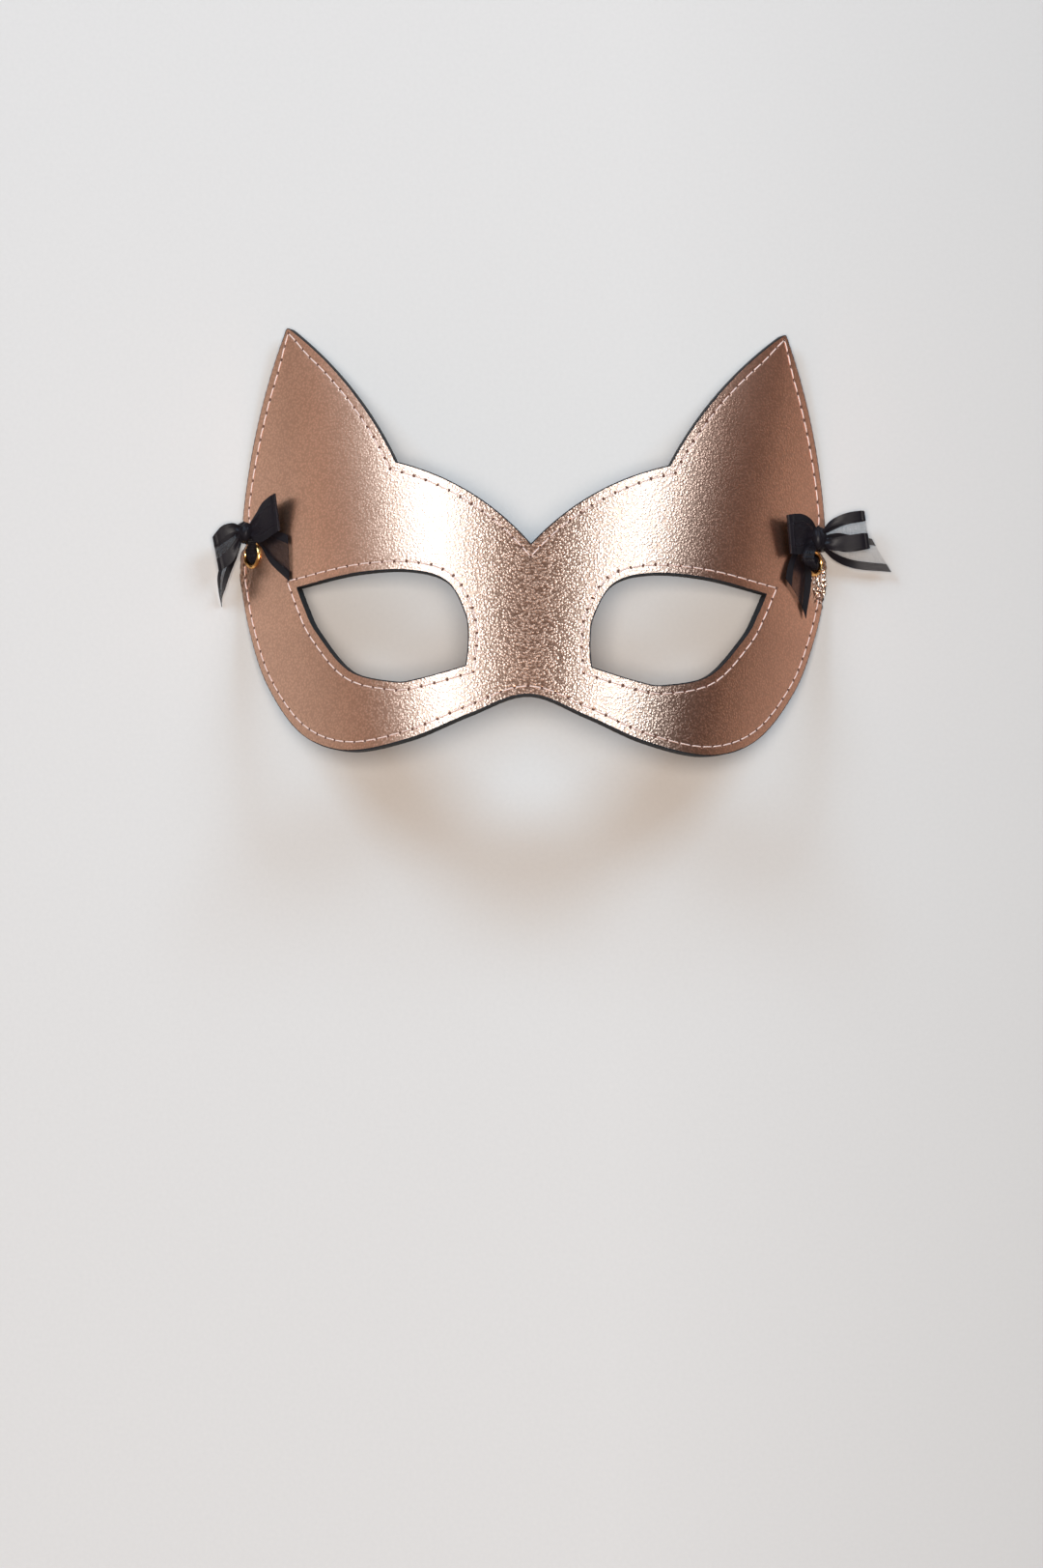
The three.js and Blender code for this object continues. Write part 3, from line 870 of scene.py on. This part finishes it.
eyelet_sides = 72
rim_steps = 100
rim_profile = [(2.68, -2.2), (2.74, 0.1), (2.86, 0.5), (3.04, 0.7), (3.24, 0.7), (3.42, 0.56), (3.6, 0.36),
               (3.7, 0.2), (3.7, 0.06), (3.5, 0.03), (3.1, 0.05), (2.94, -0.3), (2.94, -1.9), (3.1, -2.04),
               (3.6, -2.04), (3.8, -2.2), (3.74, -2.42), (3.35, -2.58), (2.95, -2.54), (2.72, -2.4)]


def eyelet_piece(name, side, finish):
    """An eyelet, turned from its profile"""
    profile = spline([*rim_profile, rim_profile[0]], rim_steps)[:-1]
    centre, axis = eyelet_middle(side), eyelet_axis(side)
    places, faces = [], []
    for k in range(eyelet_sides):
        angle = 2 * math.pi * k / eyelet_sides
        spoke = near_eyelet(side, [math.cos(angle)], [math.sin(angle)])[0] - centre
        places += [centre + radius * spoke + height * axis for radius, height in profile]
    count = len(profile)
    for k in range(eyelet_sides):
        for j in range(count):
            next_k, next_j = (k + 1) % eyelet_sides, (j + 1) % count
            face_ids = (k * count + j, k * count + next_j, next_k * count + next_j, next_k * count + j)
            faces.append(face_ids if side < 0 else face_ids[::-1])
    return new_piece(name, lay_down(places), faces, [finish])


def worn_brass():
    """Yellow brass with rub marks and a little tarnish"""
    material, tree, shader = new_material("worn_brass")
    tarnish = noise_in(tree, scale=500, detail=5)
    rubs = noise_in(tree, scale=1500, detail=3, stretch=(1, 6, 1))
    feed(tree, shader, {
        "Base Color": blend_of(tree, tarnish, (0.76, 0.35, 0.09), (0.96, 0.57, 0.22)),
        "Roughness": ranged(tree, rubs, after=(0.14, 0.34)),
        "Normal": bump_of(tree, rubs, strength=0.15, distance=0.00003),
        "Metallic": 1.0,
    })
    return material


brass = worn_brass()
for side, side_name in ((-1, "left"), (1, "right")):
    rim = eyelet_piece(f"brass_eyelet_{side_name}", side, brass)
    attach(rim, "root")
    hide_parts(f"eyelet_{side_name}")

# The bows
# A short length of 10 mm black organza ribbon with satin edges, passed through each eyelet and
# round the edge of the leather, tied in a bow and cut on the slant.

ribbon_width = 10.0
satin_edge = 2.0
ribbon_thickness = 0.16
across_steps = 20
loop_steps = 110
tail_steps = 44
ribbon_crease_angle = math.radians(50)

loop_gather_reach = 0.28
tail_gather_reach = 0.4
gather_depth = 0.3
gather_folds = 3
gather_fade = 1.5
fold_ridge_height = 0.26
fold_ridge_width = 0.3
fold_ridge_offset = 1.7

neck_steps = 110
neck_bulk = 0.55
neck_fold_depth = 0.28
neck_folds = 4
neck_rib_depth = 0.12
neck_ribs = 34
neck_half_width = 1.8
neck_weave_length = 3
bulk_in_bore = 4.2
bore_share = 0.3
bore_reach = 0.052
flatness_at_sides = 0.97
tie_outboard = 3.8
behind_leather = -leather_thickness - 1.0

knot_rings = 28
knot_turns = 48
knot_fullness = 0.55
knot_folds = 3.2
knot_fold_depth = 0.07
knot_fold_sway = 0.7
knot_fold_start = 0.5

# Each ribbon runs between two rails, the lines of its edges from the knot outwards. Cut says how far
# along them its end lies, satin how much of its width each edge takes, and weave the finish between.
right_bow = {
    "knot": {"centre": (78.4, 13.0, -42.4), "half_size": (2.3, 3.2, 1.8)},
    "ribbons": [
        {"name": "inner_loop", "weave": 4, "rails": [
            [(77.8, 15.2, -41.8), (76.3, 18.0, -40.2), (73.6, 19.6, -37.0), (69.9, 19.3, -33.6),
             (69.4, 19.1, -34.4), (70.0, 18.8, -35.5), (73.8, 17.8, -39.8), (77.4, 14.6, -42.8)],
            [(77.6, 12.4, -41.8), (75.4, 11.4, -40.2), (73.9, 8.7, -37.4), (71.0, 8.6, -33.8),
             (70.5, 8.6, -34.6), (71.1, 8.7, -35.7), (74.2, 9.4, -39.6), (77.4, 12.2, -43.0)]]},
        {"name": "outer_loop", "weave": 1, "satin": (0.26, 0.4), "rails": [
            [(79.4, 15.6, -41.6), (81.8, 18.2, -40.6), (85.9, 20.1, -40.4), (90.2, 20.8, -41.2),
             (90.7, 20.6, -42.2), (90.1, 20.4, -43.4), (85.8, 19.4, -44.4), (79.6, 15.2, -43.0)],
            [(79.6, 10.8, -41.8), (82.0, 9.8, -41.2), (85.2, 9.7, -41.4), (91.8, 10.6, -42.2),
             (92.4, 10.5, -43.2), (91.7, 10.3, -44.4), (85.8, 9.4, -45.4), (79.8, 10.8, -43.2)]]},
        {"name": "outer_tail", "cut": (0.84, 1), "weave": 1, "satin": (0.2, 0.24), "rails": [
            [(79.2, 13.6, -43.2), (83.5, 14.6, -45.6), (88.0, 13.9, -47.0), (98.0, 12.4, -47.2)],
            [(79.2, 10.6, -43.2), (82.4, 7.3, -45.2), (87.5, 5.1, -46.6), (98.4, 4.1, -47.0)]]},
        {"name": "inner_tail", "cut": (0.68, 1), "weave": 2, "satin": (0.24, 0.26), "rails": [
            [(77.0, 12.4, -42.8), (71.8, 9.4, -37.7), (69.5, 2.2, -33.4), (70.2, -8.6, -33.0)],
            [(78.2, 12.0, -43.0), (75.8, 7.4, -41.7), (76.5, 2.6, -42.0), (75.1, -9.0, -38.9)]]},
    ],
    "neck": [((-1.8, 5.4, 2.9), 2.3), ((-5.0, 3.4, 3.0), 2.3), ((-5.8, 0.8, 2.8), 2.3),
             ((-4.0, -1.4, 3.0), 1.6), ((0.1, 0, -0.2), 1.8)],
}
left_bow = {
    "knot": {"centre": (-79.5, 12.5, -42.6), "half_size": (2.6, 2.8, 1.7)},
    "ribbons": [
        {"name": "inner_loop", "weave": 4, "rails": [
            [(-78.4, 14.4, -41.8), (-76.0, 18.0, -40.2), (-74.3, 20.7, -38.4), (-71.0, 23.2, -34.6),
             (-70.7, 23.1, -35.5), (-71.2, 22.8, -36.6), (-74.4, 19.6, -40.6), (-78.0, 14.0, -43.2)],
            [(-78.2, 11.8, -42.0), (-76.4, 9.9, -40.2), (-74.6, 9.8, -38.4), (-69.6, 13.0, -33.8),
             (-69.2, 13.1, -34.7), (-69.8, 12.9, -35.7), (-74.4, 10.6, -40.2), (-78.0, 11.6, -43.2)]]},
        {"name": "outer_loop", "weave": 3, "satin": (0.3, 0.34), "rails": [
            [(-80.4, 14.2, -41.8), (-82.4, 15.0, -41.0), (-85.4, 14.2, -41.0), (-87.7, 11.5, -41.8),
             (-88.0, 11.1, -42.8), (-87.4, 11.0, -43.8), (-84.4, 12.6, -44.6), (-80.6, 13.8, -43.4)],
            [(-80.2, 10.8, -42.0), (-80.9, 7.6, -41.8), (-82.4, 4.4, -41.8), (-85.8, 1.8, -42.6),
             (-86.1, 1.7, -43.6), (-85.4, 2.2, -44.6), (-82.6, 5.0, -45.4), (-80.4, 10.6, -43.6)]]},
        {"name": "outer_tail", "cut": (1, 0.72), "weave": 3, "satin": (0.26, 0.46), "rails": [
            [(-80.6, 12.0, -43.8), (-84.8, 5.6, -47.4), (-86.6, 0.8, -48.8), (-86.3, -3.8, -49.2),
             (-85.4, -8.0, -49.2)],
            [(-79.6, 10.8, -42.8), (-81.3, 5.6, -43.0), (-83.2, 0.8, -43.6), (-84.6, -3.8, -44.2),
             (-85.1, -9.0, -44.8)]]},
        {"name": "inner_tail", "cut": (0.9, 1), "weave": 3, "rails": [
            [(-78.6, 13.2, -43.2), (-75.2, 13.6, -42.0), (-71.4, 13.2, -37.9), (-65.2, 11.2, -31.0)],
            [(-78.6, 11.4, -43.2), (-75.0, 9.0, -41.6), (-72.0, 4.3, -37.2), (-66.4, -0.9, -29.9)]]},
    ],
    "neck": [((-1.2, 5.6, 2.4), 1.6), ((-1.6, 4.2, 2.0), 1.5), ((-1.3, 2.8, 1.6), 1.4),
             ((-0.3, 1.0, 1.2), 1.8), ((0, -0.1, -0.5), 2.2)],
}
bow_shapes = {1: right_bow, -1: left_bow}


def eased_curve(points, places):
    """A smooth curve through points in space that doesn't overshoot close ones: its points, and its ways"""
    points = np.asarray(points, float)
    padded = np.vstack([2 * points[0] - points[1], points, 2 * points[-1] - points[-2]])
    place = np.clip(places, 0, 1) * (len(points) - 1)
    start = np.minimum(place.astype(int), len(points) - 2)
    t = (place - start)[:, None]
    p0, p1, p2, p3 = (padded[start + k] for k in range(4))
    d0, d1, d2 = (np.linalg.norm(b - a, axis=1)[:, None] ** 0.5 for a, b in ((p0, p1), (p1, p2), (p2, p3)))
    way1 = ((p1 - p0) / d0 - (p2 - p0) / (d0 + d1) + (p2 - p1) / d1) * d1
    way2 = ((p2 - p1) / d1 - (p3 - p1) / (d1 + d2) + (p3 - p2) / d2) * d1
    return between(p1, p2, way1, way2, t)


def ribbon_grid(rails, cut, steps):
    """The middle surface of a ribbon between two rails: its points and its outward directions"""
    along = np.linspace(0, 1, steps + 1)
    across = np.linspace(0, 1, across_steps + 1)
    points = np.zeros((steps + 1, across_steps + 1, 3))
    outward = np.zeros_like(points)
    for j, share in enumerate(across):
        reach = along * (cut[0] + (cut[1] - cut[0]) * share)
        first, first_way = eased_curve(rails[0], reach)
        second, second_way = eased_curve(rails[1], reach)
        points[:, j] = first + share * (second - first)
        outward[:, j] = unit(np.cross(first_way + second_way, second - first))
    return along, across, points, outward


def thin_slab(points, outward, thickness):
    """A closed slab round a middle surface: its places, its faces, and where each face lies across"""
    rows, columns = points.shape[:2]
    lift = outward * thickness / 2
    places = np.concatenate([(points + lift).reshape(-1, 3), (points - lift).reshape(-1, 3)])
    below = rows * columns
    ids = np.arange(below).reshape(rows, columns)
    corners = [ids[:-1, :-1], ids[:-1, 1:], ids[1:, 1:], ids[1:, :-1]]
    both_sides = [np.stack(corners, axis=-1), np.stack(corners[::-1], axis=-1) + below]
    flats = np.stack(both_sides, axis=2).reshape(-1, 4)
    rim = np.concatenate([ids[:, 0], ids[-1, 1:], ids[-2::-1, -1], ids[0, -2:0:-1]])
    after = np.roll(rim, -1)
    walls = np.column_stack([rim, after, after + below, rim + below])
    columns_of = np.tile(np.repeat(np.arange(columns - 1), 2), rows - 1)
    return places, np.vstack([flats, walls]).tolist(), np.append(columns_of, [0] * len(walls))


def pleated(along, across, points, outward, is_loop):
    """Gathers the ribbon into folds towards the knot, a loop at both of its ends"""
    reach = loop_gather_reach if is_loop else tail_gather_reach
    near = np.clip(along / reach, 0, 1)
    if is_loop:
        near = np.minimum(near, np.clip((1 - along) / reach, 0, 1))
    strength = gather_depth * (1 - near) ** gather_fade
    wave = np.cos(2 * np.pi * gather_folds * across)
    return points + outward * (strength[:, None] * wave[None, :])[..., None]


def fold_ridged(points, outward):
    """Adds the pressed line that runs beside the fold of a loop"""
    middle = points[:, across_steps // 2]
    length = np.concatenate([[0], np.cumsum(np.linalg.norm(np.diff(middle, axis=0), axis=1))])
    from_ridge = (length - length[-1] / 2 + fold_ridge_offset) / fold_ridge_width
    ridge = fold_ridge_height * np.exp(-from_ridge ** 2)
    return points + outward * ridge[:, None, None]


def neck_rails(side):
    """The gathered ribbon from the knot through the eyelet, behind the leather and round its edge"""
    up = tie_height - eyelet_place[1]
    route = [(place, (1, 0), half_width) for place, half_width in bow_shapes[side]["neck"]]
    route += [((0, 0, -2.2), (1, 0), 2.3)]
    route += [(place, way, neck_half_width) for place, way in (
        ((0.2, 1.2, behind_leather - 0.6), (1, -0.2)),
        ((1, 3.2, behind_leather - 0.6), (1, -0.8)),
        ((tie_outboard - 1.4, up - 0.3, behind_leather - 0.3), (0.4, -1)),
        ((tie_outboard + 0.1, up, behind_leather + 0.1), (0, -1)),
        ((tie_outboard + 0.95, up, -1.9), (0, -1)),
        ((tie_outboard + 0.95, up, -0.2), (0, -1)),
        ((tie_outboard + 0.3, up, 0.8), (0, -1)),
        ((tie_outboard - 1.3, up + 0.1, 1.7), (0, -1)),
        ((0, up + 0.3, 3), (0, -1)))]
    axis = eyelet_axis(side)
    rails = []
    for hand in (1, -1):
        rail = []
        for (out, rise, raised), (out_part, up_part), half_width in route:
            reach = hand * half_width / math.hypot(out_part, up_part)
            flat = near_eyelet(side, [out + reach * out_part], [rise + reach * up_part])[0]
            rail.append(flat + raised * axis)
        rails.append(rail)
    return rails if side > 0 else rails[::-1]


def neck_shape(side):
    """The neck with its folds and ribs, and its full bulk where it fills the bore"""
    along, across, points, outward = ribbon_grid(neck_rails(side), (1, 1), neck_steps)
    folds = neck_fold_depth * np.cos(2 * np.pi * neck_folds * across)[None, :]
    wave = folds + neck_rib_depth * np.cos(2 * np.pi * neck_ribs * along)[:, None]
    in_bore = np.exp(-((along - bore_share) / bore_reach) ** 2)
    roundness = np.sqrt(1 - flatness_at_sides * (2 * across - 1) ** 2)
    bulk = neck_bulk + (bulk_in_bore - neck_bulk) * in_bore[:, None] * roundness
    places, faces, columns = thin_slab(points + outward * wave[..., None], outward, bulk[..., None])
    return places, faces, [(j, i * neck_weave_length) for i in along for j in across]


def knot_shape(side, centre, half_size):
    """The knot: a short roll of ribbon, wrapped over with folds that run round it"""
    outward = eyelet_axis(side)
    along = unit(np.cross((0, 1, 0), outward))
    upward = np.cross(outward, along)
    places = []
    for i in range(1, knot_rings):
        tip = math.pi * i / knot_rings
        lateral = -math.cos(tip)
        girth = math.sin(tip) ** knot_fullness
        for k in range(knot_turns):
            turn = 2 * math.pi * k / knot_turns
            sway = knot_fold_sway * math.sin(turn + knot_fold_start)
            roll = (1 + knot_fold_depth * math.cos(knot_folds * math.pi * lateral + sway)) * girth
            places.append(np.array(centre) + half_size[0] * lateral * along
                          + half_size[1] * roll * math.sin(turn) * upward
                          + half_size[2] * roll * math.cos(turn) * outward)
    return np.array(places), [face_ids[::-1] for face_ids in rolled_faces(knot_rings - 1, knot_turns)]


def weave_noise(tree, across_scale, along_scale, detail=2):
    """A noise on the ribbon, with its scales across and along in ribbon widths"""
    return noise_in(tree, scale=1, detail=detail, stretch=(across_scale, along_scale, 1), coordinate="UV")


def satin_ribbon():
    """Black satin weave, with its sheen along the ribbon"""
    material, tree, shader = new_material("black_satin_edge")
    ribs = weave_noise(tree, 90, 6)
    broad = weave_noise(tree, 3, 2, detail=3)
    feed(tree, shader, {
        "Base Color": blend_of(tree, broad, (0.006, 0.0048, 0.006), (0.017, 0.014, 0.0165)),
        "Normal": bump_of(tree, ribs, strength=0.35, distance=0.00005),
        "Roughness": ranged(tree, ribs, after=(0.16, 0.5)),
        "Specular IOR Level": 0.08,
    })
    return material


def organza(name, low_cover, high_cover):
    """Sheer black organza: the gaps between its threads let the light through"""
    material, tree, shader = new_material(name)
    warp = weave_noise(tree, 70, 3)
    threads = math_of(tree, "ADD", warp, weave_noise(tree, 4, 60))
    feed(tree, shader, {
        "Alpha": ranged(tree, threads, (0.7, 1.3), (low_cover, high_cover)),
        "Base Color": blend_of(tree, warp, (0.007, 0.0054, 0.0068), (0.020, 0.0155, 0.0192)),
        "Normal": bump_of(tree, threads, strength=0.3, distance=0.00004),
        "Roughness": 0.42,
        "Specular IOR Level": 0.1,
    })
    return material


organzas = (("sheer_organza", 0.05, 0.15), ("veiled_organza", 0.22, 0.38), ("folded_organza", 0.3, 0.5),
            ("gathered_organza", 0.72, 0.94))
ribbon_finishes = [satin_ribbon(), *(organza(*weave) for weave in organzas)]


def bow_piece(name, side):
    """A whole bow of one ribbon: two loops, two tails, the knot, and the neck through the eyelet"""
    shape = bow_shapes[side]
    parts, slots, spots = [], [], []
    for strip in shape["ribbons"]:
        is_loop = strip["name"].endswith("loop")
        steps = loop_steps if is_loop else tail_steps
        along, across, points, outward = ribbon_grid(strip["rails"], strip.get("cut", (1, 1)), steps)
        points = pleated(along, across, points, outward, is_loop)
        if is_loop:
            points = fold_ridged(points, outward)
        places, faces, columns = thin_slab(points, outward, ribbon_thickness)
        share = (columns + 0.5) / across_steps
        first_band, second_band = strip.get("satin", (satin_edge / ribbon_width, satin_edge / ribbon_width))
        bands = np.where((share < first_band) | (share > 1 - second_band), 0, strip["weave"])
        length = np.linalg.norm(np.diff(points[:, across_steps // 2], axis=0), axis=1).sum()
        parts.append((places, faces))
        slots += bands.tolist()
        spots += [(j, i * length / ribbon_width) for i in along for j in across] * 2
    places, faces, neck_spots = neck_shape(side)
    parts.append((places, faces))
    spots += neck_spots * 2
    places, faces = knot_shape(side, shape["knot"]["centre"], shape["knot"]["half_size"])
    parts.append((places, faces))
    spots += (places[:, 1::-1] / ribbon_width).tolist()

    places, faces = merged(parts)
    slots += [0] * (len(faces) - len(slots))
    piece = new_piece(name, lay_down(places), faces, ribbon_finishes, slots)
    mesh = piece.data
    corner_vertex = np.zeros(len(mesh.loops), int)
    mesh.loops.foreach_get("vertex_index", corner_vertex)
    mesh.uv_layers.new(name="ribbon").data.foreach_set("uv", np.array(spots)[corner_vertex].ravel())
    mesh.set_sharp_from_angle(angle=ribbon_crease_angle)
    return piece


for side, side_name in ((-1, "left"), (1, "right")):
    bow = bow_piece(f"ribbon_bow_{side_name}", side)
    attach(bow, "root")
    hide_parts(f"bow_{side_name}")

# The studio
# A plain pale floor, a soft box to each side, one overhead, and a camera far off over the mask.

floor_size = 6.0
photo_width, photo_height = 1080, 1623
photo_scale = 0.2638
mask_centre_px = (550.2, 601.7)
camera_distance = 5.0
aim_depth = -20.0
view_yaw = math.radians(0.9)
view_pitch = math.radians(0.2)
photo_roll = math.radians(0.8)


def floor_finish():
    """Pale grey paper, very slightly uneven, with painted shade that darkens it towards the right"""
    material, tree, shader = new_material("pale_floor")
    grain = noise_in(tree, scale=900, detail=3)
    paper = blend_of(tree, grain, (0.518, 0.482, 0.451), (0.554, 0.516, 0.482))
    place = add_node(tree, "ShaderNodeSeparateXYZ", {"Vector": place_in(tree)})
    # Painted shade: the paper colour darkens towards the right.
    floor_painted_shade = ranged(tree, place.outputs["X"], (0.02, 0.34))
    feed(tree, shader, {
        "Base Color": blend_of(tree, floor_painted_shade, paper, (0.359, 0.335, 0.311)),
        "Roughness": 0.8,
        "Specular IOR Level": 0.2,
    })
    return material


half = floor_size / 2
corners = [(-half, -half, 0), (half, -half, 0), (half, half, 0), (-half, half, 0)]
floor = new_piece("floor", corners, [(0, 1, 2, 3)], [floor_finish()])

light_distance = 3.2
cool_white = (0.68, 1.04, 1.38)
warm_white = (1.0, 0.93, 0.86)
soft_boxes = [
    ("left_soft_box", (-0.508, 0.55, 0.664), (1.03, 1.4), 43, cool_white),
    ("right_soft_box", (0.508, 0.55, 0.664), (1.03, 1.4), 43, cool_white),
    ("overhead_box", (0, -0.06, 0.998), (0.8, 0.7), 94, warm_white),
]
for name, direction, size, power, colour in soft_boxes:
    light = bpy.data.lights.new(name, "AREA")
    light.shape = "RECTANGLE"
    light.size, light.size_y = size
    light.energy = power
    light.color = colour
    lamp = bpy.data.objects.new(name, light)
    bpy.context.scene.collection.objects.link(lamp)
    way = Vector(direction).normalized()
    lamp.location = way * light_distance
    lamp.rotation_mode = "QUATERNION"
    lamp.rotation_quaternion = way.to_track_quat("Z", "Y")
bpy.context.scene.view_settings.view_transform = "Standard"

world = bpy.data.worlds.new("studio")
world.use_nodes = True
bpy.context.scene.world = world
sky_tree = world.node_tree
sky_way = add_node(sky_tree, "ShaderNodeTexCoord", {}).outputs["Generated"]
parts = add_node(sky_tree, "ShaderNodeSeparateXYZ", {"Vector": sky_way}).outputs
dim_above = ranged(sky_tree, parts["Z"], (0.1, 0.8), (0.44, 0.19))
dim_right = ranged(sky_tree, parts["X"], (-1, 1), (1.05, 0.12))
warmth = ranged(sky_tree, parts["X"], (-1, 1))
feed(sky_tree, sky_tree.nodes["Background"], {
    "Strength": math_of(sky_tree, "MULTIPLY", dim_above, dim_right),
    "Color": blend_of(sky_tree, warmth, (1.0, 0.82, 0.73), (1.0, 0.40, 0.21)),
})

camera_data = bpy.data.cameras.new("camera")
camera = bpy.data.objects.new("camera", camera_data)
bpy.context.scene.collection.objects.link(camera)
bpy.context.scene.camera = camera
view_turn = Matrix.Rotation(view_yaw, 3, "Y") @ Matrix.Rotation(-view_pitch, 3, "X")
face_turn = Matrix.Rotation(rest_pitch, 3, "X")
axes = face_turn @ view_turn @ Matrix.Rotation(photo_roll, 3, "Z")
right, up, back = (axes.col[k] for k in range(3))
target = Vector(lay_down([0, 0, aim_depth])[0])
target += right * ((photo_width / 2 - mask_centre_px[0]) * photo_scale * millimetre)
target += up * ((mask_centre_px[1] - photo_height / 2) * photo_scale * millimetre)
camera.location = target + back * camera_distance
camera.rotation_mode = "QUATERNION"
camera.rotation_quaternion = axes.to_quaternion()
camera_data.sensor_fit = "VERTICAL"
camera_data.sensor_height = 36
camera_data.lens = camera_data.sensor_height * camera_distance / (photo_height * photo_scale * millimetre)
camera_data.clip_start, camera_data.clip_end = 0.1, 30
